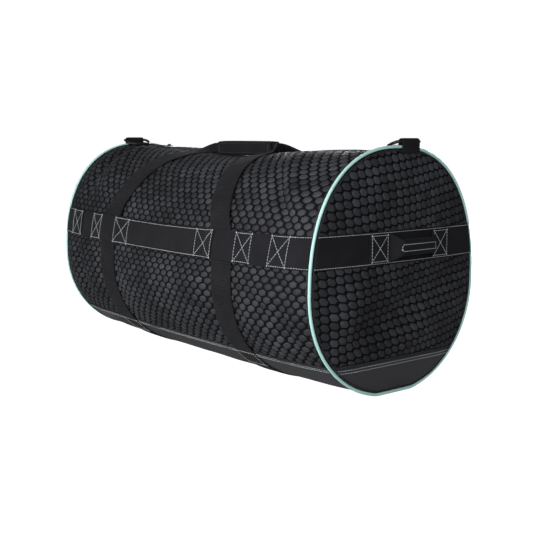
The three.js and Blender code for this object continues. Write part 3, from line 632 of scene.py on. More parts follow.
# runs a tree on an object and leaves a plain mesh with its result
def bake(source, tree, values, name):
    modifier = source.modifiers.new("nodes", "NODES")
    modifier.node_group = tree
    sockets = {item.name: item.identifier for item in tree.interface.items_tree if item.in_out == "INPUT"}
    for label, value in values.items():
        modifier[sockets[label]] = value
    source.update_tag()
    graph = bpy.context.evaluated_depsgraph_get()
    shown = source.evaluated_get(graph)
    mesh = bpy.data.meshes.new_from_object(shown, preserve_all_data_layers=True, depsgraph=graph)
    bpy.data.objects.remove(source)
    mesh.name = name
    return addObject(name, mesh)


# The net
netting = {
    "cellPitch": 20.0, "rowPitch": 10.2, "rowShift": 11.5, "sink": 1.8, "endTurn": -35.0,
    # half of a cell's corners; the net is drawn out differently on the end panels
    "bodyCorners": [(10.4, 2.9), (1.1, 7.3), (-9.6, 2.9)],
    "endCorners": [(10.3, 2.7), (1.2, 7.5), (-9.7, 2.7)],
    # rings of a cell: inset from its slanted sides, inset from its upright sides, height, rounding of corners
    "rings": [(0, 0, 0.95, 0), (0.7, 1.6, 0.85, 0.02), (1.15, 2.7, 0.1, 0.04), (1.45, 3.15, 1.35, 0.06),
              (2.4, 4.2, 1.75, 0.1)],
    "puffTop": 1.9, "gather": 1.6, "foldGain": 1.5, "endFoldGain": 0.6, "bodyStrand": 1.25, "endStrand": 0.95,
    "underBelt": 6, "underCrown": 3, "margin": 24, "reach": 12.5, "backTop": 0.15, "backFoot": 0.65,
    "sideRamp": 30, "dentRamp": 20,
    # the end panel's cells are wide at its front and drawn together towards its back
    "endStretch": 1.14, "endDraw": 0.17, "endDrawOver": 75, "endDrawAt": 5,
}


def insetCell(half, slanted, upright, rounding):
    corners = np.array(half + [(-x, -y) for x, y in half])
    edge = np.roll(corners, -1, 0) - corners
    inward = np.stack([-edge[:, 1], edge[:, 0]], -1) / np.linalg.norm(edge, axis=1)[:, None]
    insets = [slanted, slanted, upright] * 2
    moved = []
    for k, corner in enumerate(corners):
        sides = np.array([inward[k - 1], inward[k]])
        moved.append(np.linalg.solve(sides, sides @ corner + np.array([insets[k - 1], insets[k]])))
    moved = np.array(moved)
    middles = (moved + np.roll(moved, -1, 0)) / 2
    rounded = moved + ((middles + np.roll(middles, 1, 0)) / 2 - moved) * rounding
    return np.stack([rounded, middles], 1).reshape(-1, 2)


# one tile holds half of each strand round it, a groove and a puffed cell
def netTile(half, strand):
    rings = []
    for slanted, upright, height, rounding in netting["rings"]:
        rings.append((insetCell(half, slanted * strand, upright * strand, rounding), height))
    count = len(rings[0][0])
    points = [(*p, h) for ring, h in rings for p in ring] + [(0, 0, netting["puffTop"])]
    last = (len(rings) - 1) * count
    faces = ringFaces(len(rings), count)
    faces += [(last + k, last + (k + 1) % count, len(points) - 1) for k in range(count)]
    made = newObject("netTile", points, faces)
    mark = made.data.attributes.new("strand", "BOOLEAN", "FACE")
    mark.data.foreach_set("value", [k < count * 2 for k in range(len(faces))])
    return made


# a flat form mesh that stores where each of its points lies on the bag, and which way is out
def flatForm(flatU, flatV, place, out):
    points = np.stack([flatU, flatV, np.zeros_like(flatU)], -1).reshape(-1, 3)
    form = newObject("form", points, gridFaces(*flatU.shape))
    for name, grid in (("place", place * mm), ("out", out)):
        store = form.data.attributes.new(name, "FLOAT_VECTOR", "POINT")
        store.data.foreach_set("vector", grid.reshape(-1).astype(np.float32))
    return form


def layNet(name, form, tile, box, turn, seed, replaces):
    (lowX, lowY), (highX, highY) = box
    spin = np.array([[cos(turn), sin(turn)], [-sin(turn), cos(turn)]])
    spots = np.array([spin @ (x, y) for x in (lowX, highX) for y in (lowY, highY)])
    pitch = netting["cellPitch"]
    first, last = spots.min(0) - netting["margin"], spots.max(0) + netting["margin"]
    first = np.floor(first / pitch) * pitch
    perRow = int((last[0] - first[0]) / pitch) + 2
    rows = int((last[1] - first[1]) / netting["rowPitch"]) + 2
    made = bake(form, hexagonNet, {
        "Tile": tile, "Count": perRow * rows, "Row length": perRow, "Cell pitch": pitch * mm,
        "Row pitch": netting["rowPitch"] * mm, "Row shift": netting["rowShift"] * mm,
        "Start": (first[0] * mm, first[1] * mm, 0), "Turn": turn, "Reach": netting["reach"] * mm,
        "Seed": seed, "Strand": looks["strand"], "Puff": looks["puff"],
    }, name)
    # its faces look away from the bag's middle line
    mesh = made.data
    centre = readArray(mesh.polygons, "center") - np.array([0, 0, bag["endHeight"] / 2 * mm])
    if np.einsum("ij,ij->", readArray(mesh.polygons, "normal"), centre) < 0:
        mesh.flip_normals()
    print(name, len(mesh.polygons), "faces")
    register(made, "bag", replaces, "mesh_cloth")


def meshPoint(x, s, off=0):
    small = np.sin(x / 23 + s / 41) * np.sin(s / 19 - x / 57 + 1) + 0.6 * np.sin(x / 37 - s / 13)
    height = puff(x, s, netting["foldGain"])
    return onSkin(x, s, off + height + 0.5 * small * np.clip(height / bag["pillow"], 0, 1))


def bodyNet():
    xs = np.linspace(-wallEnd, wallEnd, 161)
    spans = {
        "upper": (zipper["half"] + gap, beltTop + netting["underBelt"]),
        "lower": (beltFoot - netting["underBelt"], seamArc - gap),
    }
    for facing, word in facings:
        for part, (top, foot) in spans.items():
            flatX, flatS = np.meshgrid(xs, np.linspace(top, foot, 52))
            s = facing * flatS
            place = meshPoint(flatX, s, -netting["sink"])
            out = normalOf(meshPoint, flatX, s, 1.0, wallEnd)
            alongX, alongS = gathered(bodyFolds, flatX, s, flatX, flatS, facing)
            form = flatForm(alongX, -alongS, place, out)
            box = ((-wallEnd, -foot), (wallEnd, -top))
            layNet(f"net_{word}_{part}", form, bodyTile, box, 0.0, 5 + facing, (f"mesh_{word}",))


# half width and height of an end panel's edge, just inside its piping
def endEdge(z, inset):
    point = onSkin(halfLength, arcAtHeight(z), -inset)
    return np.abs(point[..., 1]), point[..., 2]


# y and z over an end panel between two places on the way round
def endGrid(arcs, inset):
    point = onSkin(halfLength, arcs, -inset)
    y = np.abs(point[:, 1])[:, None] * np.linspace(-1, 1, 61)[None, :]
    return y, np.broadcast_to(point[:, 2][:, None], y.shape)


# the end panel's face with its folds deepened and a few small dents
def endCloth(side, y, z):
    point = endFace(side, y, z)
    ramp = netting["dentRamp"]
    room = away(outlineAt(z) - np.abs(y), netting["sideRamp"])
    room = room * away(np.abs(z - bag["beltHeight"]) - halfWeb, ramp)
    room = room * away(np.abs(z - bag["seamHeight"]), ramp) * away(bag["endHeight"] - z, ramp)
    height = 1.4 * np.sin(y / 21 + z / 33) * np.sin(z / 17 - y / 40 + 0.6) + 0.9 * np.sin(y / 12 - z / 26 + 2)
    for depth in foldHeights(endFolds, y, z):
        height = height + bag["endBulge"] * netting["endFoldGain"] * depth
    point[..., 0] += side * height * room
    return point


def endNet(side, word):
    inset = bag["pipingRadius"] - bag["pipingOut"] + gap
    over, step = netting["endDrawOver"], 1.0
    spans = {
        "upper": (netting["underCrown"], beltTop + netting["underBelt"]),
        "lower": (beltFoot - netting["underBelt"], seamArc - gap),
    }
    for part, arcs in spans.items():
        y, z = endGrid(np.linspace(*arcs, 44), inset)
        dy = endCloth(side, y + step, z) - endCloth(side, y - step, z)
        dz = endCloth(side, y, z + step) - endCloth(side, y, z - step)
        out = unit(np.cross(dy, dz) * side)
        place = endCloth(side, y, z) - out * netting["sink"]
        drawn = netting["endDraw"] * over * np.log(np.cosh((y - netting["endDrawAt"]) / over))
        alongY, alongZ = gathered(endFolds, y, z, netting["endStretch"] * y + drawn, z)
        form = flatForm(alongY, alongZ, place, out)
        box = ((alongY.min(), z.min() - 5), (alongY.max(), z.max() + 5))
        turn = radians(netting["endTurn"])
        layNet(f"net_end_{part}_{word}", form, endTile, box, turn, 21 + side, (f"end_mesh_{word}",))


# the mesh cloth's own close-woven back just under the net, a closed wall
def backings():
    xs = np.linspace(-wallEnd, wallEnd, 90)
    ss = np.linspace(zipper["half"] + gap, seamArc - gap, 64)
    gridX, gridS = np.meshgrid(xs, ss, indexing="ij")
    for facing, word in facings:
        outer, inner = (meshPoint(gridX, facing * gridS, -netting["sink"] - netting[depth])
                        for depth in ("backTop", "backFoot"))
        made = closedWall(f"mesh_back_layer_{word}", outer, inner, "meshBack", slot="mesh_cloth")


bodyTile = netTile(netting["bodyCorners"], netting["bodyStrand"])
endTile = netTile(netting["endCorners"], netting["endStrand"])
bodyNet()
for end in ends:
    endNet(end["side"], end["word"])
backings()
bpy.data.objects.remove(bodyTile)
bpy.data.objects.remove(endTile)
print("net laid")

# Coated base, piping and the rolled seam edges and bindings
seam = {
    "edgeIn": 1.6, "edgeLift": 0.1, "bodyEdge": 1.5, "endEdge": 1.3, "pipingShare": 0.82,
    "binding": 1.15, "bindingBelow": 0.8, "bindingLift": 0.35, "bindingRoom": 1.5, "endBindingLift": 0.3,
    "waveRamp": 14, "waveInset": 20,
}


# runs of x beside and between the body straps
def betweenStraps(x, room):
    parts = ((-wallEnd, -strapOuter - room), (room - strapInner, strapInner - room), (strapOuter + room, wallEnd))
    return [x[(x > low) & (x < high)] for low, high in parts]


def basePiece():
    xs = np.linspace(-wallEnd, wallEnd, 121)
    half = np.concatenate([np.linspace(seamArc + gap, baseFlat, 18), [halfGirth - bag["baseFlat"] / 2]])
    gridX, gridS = np.meshgrid(xs, np.concatenate([half, [halfGirth], -half[::-1]]), indexing="ij")
    waves = 0.35 * np.sin(gridX / 19 + gridS / 23) + 0.3 * np.sin(gridX / 31 - gridS / 13 + 1)
    waves *= away(baseFlat - np.abs(gridS), seam["waveInset"])
    waves *= away(offStrap(gridX), seam["waveRamp"]) * away(wallEnd - np.abs(gridX), seam["waveRamp"])
    outer, inner = onSkin(gridX, gridS, waves), onSkin(gridX, gridS, waves - bag["baseWall"])
    made = closedWall("base_cloth", outer, inner, "coated", replaces=("base_panel",), slot="coated_cloth")
    for end in ends:
        side, word = end["side"], end["word"]
        y, z = endGrid(np.linspace(seamArc + gap, baseFlat, 26), bag["pipingRadius"] - bag["pipingOut"] + gap)
        face = endFace(side, y, z)
        back = face - np.array([side * bag["meshWall"], 0, 0])
        closedWall(f"end_base_cloth_{word}", face, back, "coated", replaces=(f"end_base_{word}",),
                   slot="coated_cloth")


# rolled edges of the seam, one on each side of the piping
def seamEdges(side, word):
    s = np.linspace(-halfGirth, halfGirth, 201)[:-1]
    centre = onSkin(side * (wallEnd - seam["edgeIn"]), s, seam["edgeLift"])
    tube(f"seam_edge_body_{word}", centre, seam["bodyEdge"], "binding", 8, (1, 0, 0), slot="coated_cloth")
    arcs = np.concatenate([np.linspace(0, halfGirth, 101), np.linspace(-halfGirth, 0, 101)[1:-1]])
    point = onSkin(halfLength, arcs, -bag["pipingRadius"] - seam["edgeIn"])
    centre = endFace(side, point[:, 1], np.clip(point[:, 2], 6, None))
    centre[:, 0] += side * seam["edgeLift"]
    tube(f"seam_edge_end_{word}", centre, seam["endEdge"], "binding", 8, (1, 0, 0), slot="coated_cloth")


def pipings():
    for end in ends:
        side, word = end["side"], end["word"]
        s = np.linspace(-halfGirth, halfGirth, 221)[:-1]
        x = side * halfLength
        centre = skin(x, s) + unit(skinNormal(x, s) * np.array([0, 1, 1])) * bag["pipingOut"]
        radius = bag["pipingRadius"] * seam["pipingShare"]
        tube(f"piping_cord_{word}", centre, radius, "piping", 16, (1, 0, 0), replaces=(f"piping_{word}",),
             slot="piping")
        seamEdges(side, word)


# rolled binding along the top edge of the coated base
def seamBindings():
    more = {"closed": False, "slot": "coated_cloth"}
    x = np.linspace(-wallEnd + 4, wallEnd - 4, 160)
    for facing, word in facings:
        for i, run in enumerate(betweenStraps(x, seam["bindingRoom"])):
            centre = onSkin(run, facing * (seamArc + gap + seam["bindingBelow"]), seam["bindingLift"])
            tube(f"seam_binding_{word}_{i + 1}", centre, seam["binding"], "binding", 8, (0, 0, 1), **more)
    for end in ends:
        z = bag["seamHeight"] - 1.0
        edge, _ = endEdge(z, bag["pipingRadius"] + 3)
        centre = endFace(end["side"], np.linspace(-edge, edge, 90), z)
        centre[:, 0] += end["side"] * seam["endBindingLift"]
        tube(f"seam_binding_end_{end['word']}", centre, seam["binding"], "binding", 8, (1, 0, 0), **more)


basePiece()
pipings()
seamBindings()
print("base and piping made")

# Webbing: belt with its label and tails, body straps, handles and wrap
belt = {
    "labelLength": 310, "tailStart": 291, "tailLap": 40, "slack": 0.96, "lift": 0.1,
    "faceHalf": 104, "faceWidth": 43.5, "faceThickness": 0.5, "faceSink": 0.25,
}
handle = {
    "lean": 0.4, "shoulder": 352, "swing": 45, "runIn": 26, "clear": 1.2, "foldedWidth": 19, "foldedWeb": 4,
    "spread": 3, "wrapLength": 158, "wrapDepth": 24, "wrapTall": 26.5, "wrapPad": 3, "wrapRoom": 0.4,
    "wrapSeat": 1, "wrapPower": 4.2, "borePower": 6, "wrapTaper": 0.08, "wrapGirth": 0.09, "wrapFill": 0.7,
    "edgeIn": 6, "edgeDown": 5.2, "edgeCorner": 5, "edgeRadius": 0.95, "edgeLift": 0.15,
}
stepInner = strapInner - handle["lean"] * halfWeb - 1
stepOuter = strapOuter + 1


def stepUp(distance):
    return smoothStep(np.clip(1 - distance / bag["webRamp"], 0, 1))


def beltSeat(x):
    return gap + (web + gap) * stepUp(np.maximum(stepInner - np.abs(x), np.abs(x) - stepOuter))


def tailSeat(x):
    return beltSeat(x) + (web + gap) * stepUp(np.abs(x) - belt["tailStart"] - belt["tailLap"])


def labelSeat(x):
    return beltSeat(x) + web + gap


def beltPiece(name, facing, xs, seat, replaces=(), width=bag["webWidth"], thickness=web * belt["slack"],
              look="webbing"):
    def place(x, v, off):
        return onSkin(x, facing * (beltArc - v * width / 2), seat(x) + thickness / 2 + belt["lift"] + off)

    webStrip(name, xs, place, width, thickness, look, replaces=replaces, columns=13)


beltEnd = belt["tailStart"] + belt["tailLap"] - gap
halfLabel = belt["labelLength"] / 2
for facing, word in facings:
    beltPiece(f"belt_web_{word}", facing, np.linspace(-beltEnd, beltEnd, 180), beltSeat, (f"belt_{word}",))
beltPiece("label_web", 1, np.linspace(-halfLabel, halfLabel, 100), labelSeat, ("label_panel",))
beltPiece("label_face", 1, np.linspace(-belt["faceHalf"], belt["faceHalf"], 60),
          lambda x: labelSeat(x) + web - belt["faceSink"], width=belt["faceWidth"],
          thickness=belt["faceThickness"], look="labelWeb")
for end in ends:
    for facing, word in facings:
        xs = end["side"] * np.linspace(belt["tailStart"], wallEnd, 36)
        where = f"{word}_{end['word']}"
        beltPiece(f"tail_{where}", facing, xs, tailSeat, (f"belt_tail_{where}",))


def endBelt(side, word):
    inset = bag["pipingRadius"] - bag["pipingOut"] + gap * 2

    def place(share, v, off):
        z = bag["beltHeight"] + v * halfWeb
        edge, _ = endEdge(z, inset)
        point = endFace(side, edge * share, z)
        point[..., 0] += side * (gap + web / 2 + off)
        return point

    webStrip(f"end_belt_web_{word}", np.linspace(-1, 1, 90), place, bag["webWidth"], web * belt["slack"],
             replaces=(f"belt_end_{word}",), columns=13)


# from belt to belt, under the base
def bodyStrap(side, word):
    reach = halfGirth - beltArc - gap / 2

    def place(v, across, off):
        s = np.where(v < 0, halfGirth + v, v - halfGirth)
        return onSkin(side * bag["strapAt"] + across * halfWeb, s, gap + web / 2 + off)

    webStrip(f"strap_web_{word}", np.linspace(-reach, reach, 150), place, bag["webWidth"], web, "strapWeb",
             replaces=(f"strap_{word}",))


for end in ends:
    endBelt(end["side"], end["word"])
    bodyStrap(end["side"], end["word"])

# Carry handles, up from the belt, over the crown and into the wrap
wrapMiddle = float(skin(0, 0)[2]) + zipper["coilRise"] + handle["wrapSeat"] + handle["wrapTall"] / 2


def puffNear(x, s):
    reach = halfWeb / 2
    return max(float(puff(x + dx, s + ds)) for dx in (-reach, 0, reach) for ds in (-reach, 0, reach))


# rows across one half of a handle: three points, three normals and the thickness
def handleHalf(facing, side):
    rows = []
    shoulder = arcAtHeight(handle["shoulder"])
    wrapHalf = handle["wrapLength"] / 2
    low = gap + web / 2

    def centreX(arc):
        return side * (bag["strapAt"] - handle["lean"] * (beltArc - arc))

    def liesAt(x, arc):
        lift = 0 if arc >= beltTop else handle["clear"] + puffNear(x, facing * arc)
        return onSkin(x, facing * arc, low + lift)

    for arc in [beltArc - gap / 2, beltTop, *np.linspace(beltTop, shoulder, 21)[1:]]:
        xs = [centreX(arc) + across * halfWeb for across in (-1, 0, 1)]
        rows.append(([liesAt(x, arc) for x in xs], [skinNormal(x, facing * arc) for x in xs], web))

    path = np.array([
        (centreX(shoulder), shoulder),
        (centreX(shoulder) - side * handle["lean"] * handle["swing"], shoulder - handle["swing"]),
        (side * (wrapHalf + handle["runIn"]), handle["spread"]),
        (side * wrapHalf, handle["spread"]),
    ])

    def spotAt(t):
        return np.array([(1 - t) ** 3, 3 * t * (1 - t) ** 2, 3 * t * t * (1 - t), t**3]) @ path

    def lies(t):
        x, arc = spotAt(t)
        turn = pi / 2 * smoothStep(max((t - 0.5) / 0.5, 0))
        width = bag["webWidth"] + (handle["foldedWidth"] - bag["webWidth"]) * smoothStep(min(t / 0.8, 1))
        lift = low + handle["clear"] + width / 2 * sin(turn) + puffNear(x, facing * arc) * (1 - t)
        level = skin(x, facing * arc)[2] + lift
        centre = onSkin(x, facing * arc, lift)
        centre[2] += (level + (wrapMiddle - level) * t**5 - centre[2]) * t
        return centre, turn, width

    steps = 30
    for i in range(1, steps + 1):
        t = i / steps
        centre, turn, width = lies(t)
        x, arc = spotAt(t)
        along = unit(lies(t + 0.01)[0] - centre if t < 1 else np.array([-side, 0.0, 0.0]))
        flat = unit(np.cross(skinNormal(x, facing * arc), along))
        if flat[0] < 0:
            flat = -flat
        blend = (1 - t) ** 6
        flat = unit(flat * (1 - blend) + np.array([1, 0, 0]) * blend)
        if i == steps:
            flat = np.array([0.0, side * facing, 0.0])
        upright = unit(np.cross(flat, along))
        if upright[2] < 0:
            upright = -upright
        across = unit(flat * cos(turn) + upright * side * sin(turn))
        normal = unit(np.cross(across, along))
        if normal @ rows[-1][1][1] < 0:
            normal = -normal
        thickness = web + (handle["foldedWeb"] - web) * max(t * 2 - 1, 0)
        rows.append(([centre + across * part * width / 2 for part in (-1, 0, 1)], [normal] * 3, thickness))
    return rows


def handlePiece(facing, word):
    rows = handleHalf(facing, 1)
    for points, normals, thickness in handleHalf(facing, -1)[::-1]:
        if points[2][2] < points[0][2] - 1:
            points = points[::-1]
        rows.append((points, normals, thickness))
    table, normals, thick = (np.array([row[k] for row in rows]) for k in range(3))

    def place(i, v, off):
        i = i.astype(int)
        low, middle, high = table[i, 0], table[i, 1], table[i, 2]
        bend = middle - (low + high) / 2
        point = (low + high) / 2 + (high - low) * (v / 2)[..., None] + bend * (1 - v**2)[..., None]
        n0, n1, n2 = normals[i, 0], normals[i, 1], normals[i, 2]
        normal = np.where(v[..., None] < 0, n1 + (n1 - n0) * v[..., None], n1 + (n2 - n1) * v[..., None])
        return point + normal * (off * thick[i] / web)[..., None]

    webStrip(f"handle_web_{word}", np.arange(len(rows)), place, bag["webWidth"], web, "strapWeb",
             replaces=(f"handle_{word}",))


for facing, word in facings:
    handlePiece(facing, word)


# padded wrap round both handle webs
def wrapPiece():
    count, sides = 40, 48
    turn = 2 * pi * np.arange(sides) / sides
    c, s = np.cos(turn), np.sin(turn)

    def ring(x, less, swell, power):
        y = (handle["wrapDepth"] - less) * swell / 2 * np.sign(c) * np.abs(c) ** (2 / power)
        z = (handle["wrapTall"] - less) * swell / 2 * np.sign(s) * np.abs(s) ** (2 / power)
        return np.stack([np.full(sides, x), y, z + wrapMiddle], -1)

    share = np.sin(np.linspace(-pi / 2, pi / 2, count))
    run = share * (handle["wrapLength"] / 2 - gap)
    bore = 2 * handle["wrapPad"] - handle["wrapRoom"]
    swell = 1 - handle["wrapTaper"] * np.abs(share) ** 6
    rings = [ring(x, 0, size, handle["wrapPower"]) for x, size in zip(run, swell)]
    rings += [ring(x, bore, 1, handle["borePower"]) for x in run[::-1]]
    run = np.concatenate([run, run[::-1]])
    uv = np.array([(x * mm, k / sides * handle["wrapGirth"]) for x in run for k in range(sides)])
    made = newObject("wrap_pad", np.concatenate(rings), ringFaces(len(rings), sides, True), "webbing", uv=uv)
    faceOutwards(made)
    register(made, "bag", ("handle_wrap",), "webbing")


# bound outline on both faces of the wrap
def wrapEdges():
    half = handle["wrapLength"] / 2 - handle["edgeIn"]
    tall = handle["wrapTall"] / 2 - handle["edgeDown"]
    corner, power = handle["edgeCorner"], handle["wrapPower"]
    outline = []
    for sideways, upward, start in ((1, 1, 0), (-1, 1, 90), (-1, -1, 180), (1, -1, 270)):
        for angle in np.radians(start + np.arange(9) * 90 / 8):
            outline.append((sideways * (half - corner) + corner * cos(angle),
                            upward * (tall - corner) + corner * sin(angle)))
    x, z = np.array(outline).T
    deep = handle["wrapDepth"] / 2 * (1 - (np.abs(z) / (handle["wrapTall"] / 2)) ** power) ** (1 / power)
    deep *= 1 - handle["wrapTaper"] * np.abs(x / (handle["wrapLength"] / 2)) ** 6
    for facing, word in facings:
        centre = np.stack([x, -facing * (deep + handle["edgeLift"]), z + wrapMiddle], -1)
        tube(f"wrap_binding_{word}", centre, handle["edgeRadius"], "binding", 8, (0, 1, 0), slot="webbing")


wrapPiece()
wrapEdges()
print("webbing made")

# Grab handles on the end panels
grab = {
    "length": 173, "width": 44, "foot": 37, "rise": 15, "ramp": 16, "gripWidth": 24, "gripThickness": 4,
    "fold": 0.3,
}


def grabCentre(end, along):
    side = end["side"]
    bend = grab["length"] / 2 - grab["foot"]
    rise = smoothStep(np.clip((bend - np.abs(along)) / grab["ramp"], 0, 1))
    thickness = web + (grab["gripThickness"] - web) * rise
    point = endFace(side, end["grabShift"] + along, bag["beltHeight"])
    point[..., 0] += side * (gap * 2 + web + thickness / 2 + grab["rise"] * rise)
    return point, thickness, grab["width"] + (grab["gripWidth"] - grab["width"]) * rise


def grabPiece(end):
    half = grab["length"] / 2

    def place(a, v, off):
        point, thickness, width = grabCentre(end, a)
        fold = 1 + grab["fold"] * (thickness - web) / (grab["gripThickness"] - web) * (1 - v**2)
        point[..., 0] += end["side"] * off * thickness / web * fold
        point[..., 2] += v * width / 2
        return point

    webStrip(f"grab_web_{end['word']}", np.linspace(-half, half, 110), place, grab["width"], web,
             replaces=(f"grab_handle_{end['word']}",), columns=13)


# Webbing tab over the piping, with the ring's bar in its loop
fitting = {
    "tabWidth": 38, "tabDrop": 9, "tabFoot": 10, "barRise": 8.5, "ringInside": 46, "ringDepth": 32,
    "ringWire": 2.5, "ringShare": 0.98, "ringCorner": 6, "ringFlat": 9, "ringShoulder": 3,
}


def tabPiece(end):
    side, shift = end["side"], end["tabShift"]
    inner = bag["pipingRadius"] + gap
    middle = inner + web / 2
    rise, drop = fitting["barRise"], fitting["tabDrop"]
    seat = zipper["coilRise"] + gap + web / 2
    across = shift + np.array([-0.5, 0, 0.5]) * fitting["tabWidth"]
    foot = np.abs(endFace(side, across, bag["endHeight"] - drop)[:, 0]).max() - halfLength + gap * 1.5
    path = [(max(foot, inner) + web / 2, -drop), (middle + 0.4, -4), (middle, 0), (middle, rise)]
    path += [(middle * cos(a), rise + middle * sin(a)) for a in np.linspace(0, pi, 13)[1:]]
    path += [(-middle, seat + 2.5), (-middle - 0.6, seat + 0.7), (-middle - 2.2, seat)]
    path = np.array(path + [(-inner - fitting["tabFoot"] - 1.5, seat)])
    tangent = unit(np.gradient(path, axis=0))
    normal = np.stack([tangent[:, 1], -tangent[:, 0]], -1)

    def place(i, v, off):
        i = i.astype(int)
        spot = path[i] + normal[i] * off[..., None]
        y = shift + v * fitting["tabWidth"] / 2
        return np.stack([side * (halfLength + spot[..., 0]), y, bag["endHeight"] + spot[..., 1]], -1)

    webStrip(f"tab_web_{end['word']}", np.arange(len(path)), place, fitting["tabWidth"], web * belt["slack"],
             replaces=(f"ring_tab_{end['word']}",), columns=11)


# the ring's centre line, flat: a straight bar with round corners and a bow
def ringPlan():
    halfBar = fitting["ringInside"] / 2 + fitting["ringWire"]
    corner, flat = fitting["ringCorner"], fitting["ringFlat"]
    shoulder = corner + fitting["ringShoulder"]
    bow = (halfBar - flat, fitting["ringDepth"] - shoulder)
    plan = []
    for middle, radii, start, count in (
        ((halfBar - corner, corner), (corner, corner), -90, 8), ((flat, shoulder), bow, 0, 14),
        ((-flat, shoulder), bow, 90, 14), ((corner - halfBar, corner), (corner, corner), 180, 8),
    ):
        for angle in np.radians(start + 90 * np.arange(count + 1) / count):
            plan.append((middle[0] + radii[0] * cos(angle), middle[1] + radii[1] * sin(angle)))
    return np.array(plan)


def ringPiece(end):
    side, word = end["side"], end["word"]
    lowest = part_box(f"strap_ring_{word}")[0][2] / mm
    bar = np.array([side * halfLength, end["tabShift"], bag["endHeight"] + fitting["barRise"]])
    tilt = asin(min((bar[2] - fitting["ringWire"] - lowest) / fitting["ringDepth"], 1))
    inboard = np.array([-side * cos(tilt), 0, -sin(tilt)])
    up = np.array([-side * sin(tilt), 0, cos(tilt)])
    plan = ringPlan()
    centres = bar + plan[:, 1:] * inboard + plan[:, :1] * np.array([0, 1.0, 0])
    tube(f"ring_wire_{word}", centres, fitting["ringWire"] * fitting["ringShare"], "metal", 16, up,
         body=f"ring_{word}", replaces=(f"strap_ring_{word}",), slot="black_metal")


for end in ends:
    grabPiece(end)
    tabPiece(end)
    ringPiece(end)


# Zip: tape, coil of teeth and slider
def polyline(name, runs):
    points = []
    edges = []
    for run in runs:
        first = len(points)
        points += (np.asarray(run, float) * mm).tolist()
        edges += [(i, i + 1) for i in range(first, len(points) - 1)]
    mesh = bpy.data.meshes.new(name)
    mesh.from_pydata(points, edges, [])
    return addObject(name, mesh)


def zipPieces():
    xs = np.linspace(-wallEnd, wallEnd, 100)
    gridX, gridV = np.meshgrid(xs, np.linspace(-1, 1, 13), indexing="ij")
    across = gridV * zipper["half"]
    outer, inner = onSkin(gridX, across, -0.1), onSkin(gridX, across, -zipper["tape"])
    uv = np.stack([gridX * mm, across * mm], -1)
    closedWall("zip_tape", outer, inner, "zipTape", uv, replaces=("zip",), slot="zip")
    profile = ((-1.0, 0.35), (-0.75, 0.8), (0, 1), (0.75, 0.8), (1.0, 0.35))
    shape = bead("tooth", profile, 8, zipper["toothLength"], zipper["toothWide"], zipper["toothTall"])
    values = {"Shape": shape, "Pitch": zipper["toothPitch"] * mm, "Look": looks["plastic"]}
    line = polyline("zipLine", [onSkin(xs, 0, zipper["coilMiddle"])])
    register(bake(line, rowOfShapes, values, "zip_coil"), "bag", ("zip",), "zip")
    bpy.data.objects.remove(shape)


def sliderPiece():
    at, half, pull = zipper["sliderAt"], zipper["sliderLength"] / 2, zipper["pullLength"]
    rise = [float(skin(x, 0)[2]) for x in (at - half - pull, at + half)]
    slope = (rise[1] - rise[0]) / (2 * half + pull)
    level = rise[1] + gap + zipper["coilRise"] + zipper["sliderLift"] - slope * half
    wide, tip = zipper["sliderWidth"], zipper["pullTip"]
    # slabs: from, to, width at each end, foot and top
    slabs = [
        (-half, half, wide * 0.72, wide, 0, 1.5), (-half * 0.55, half * 0.7, 3.2, 3.2, 1.5, 4.1),
        (-half * 0.2, half * 0.75, 4.4, 4.4, 3.0, 4.3),
        (-half - pull, -half * 0.2, zipper["pullWidth"], tip, 0.2, 0.2 + zipper["pullThickness"]),
    ]
    points = []
    faces = []
    for x0, x1, w0, w1, z0, z1 in slabs:
        faces += [[len(points) + k for k in face] for face in (
            (3, 2, 1, 0), (4, 5, 6, 7), (1, 5, 4, 0), (2, 6, 5, 1), (3, 7, 6, 2), (0, 4, 7, 3))]
        for x, w in ((x0, w0), (x1, w1)):
            points += [(x, -w / 2, z0), (x, w / 2, z0), (x, w / 2, z1), (x, -w / 2, z1)]
    points = np.array(points)
    points[:, 2] += level + slope * points[:, 0]
    points[:, 0] += at
    made = newObject("slider_body", points, faces, "metal", smooth=False)
    bevel = made.modifiers.new("bevel", "BEVEL")
    bevel.width = 0.5 * mm
    bevel.segments = 3
    register(made, "bag", ("zip_slider",), "black_metal")


zipPieces()
sliderPiece()
print("fittings made")

# Stitches
thread = {
    "radius": 0.5, "length": 3.7, "pitch": 4.5, "inset": 2.6, "lift": 0.1, "beltLift": 0.15, "baseLift": 0.3,
    "gripShare": 1.28,
    # sewn boxes on the belt, each side of the middle: centre, width
    "beltBox": (229, 36), "tailBox": (311.5, 37), "tailLean": 3, "labelBox": (130, 45),
    "tailLineFrom": 331, "labelLine": 107, "baseRows": (4.5, 9.0), "footBox": (3, 36),
}
profile = ((-0.5, 0.35), (-0.38, 0.85), (-0.12, 1), (0.12, 1), (0.38, 0.85), (0.5, 0.35))
stitch = bead("stitch", profile, 6, thread["length"], thread["radius"], thread["radius"])
insetHalf = halfWeb - thread["inset"]


def sew(name, runs, slot="webbing"):
    values = {"Shape": stitch, "Pitch": thread["pitch"] * mm, "Look": looks["thread"]}
    made = bake(polyline(name, runs), rowOfShapes, values, name)
    print(name, len(made.data.polygons), "faces")
    register(made, "bag", (), slot)


def straight(a, b, step=3.0):
    a, b = np.asarray(a, float), np.asarray(b, float)
    count = max(int(np.linalg.norm(b - a) / step), 2)
    return a + (b - a) * np.linspace(0, 1, count + 1)[:, None]


def outlineRuns(corners):
    return [straight(a, b) for a, b in zip(corners, corners[1:] + corners[:1])]


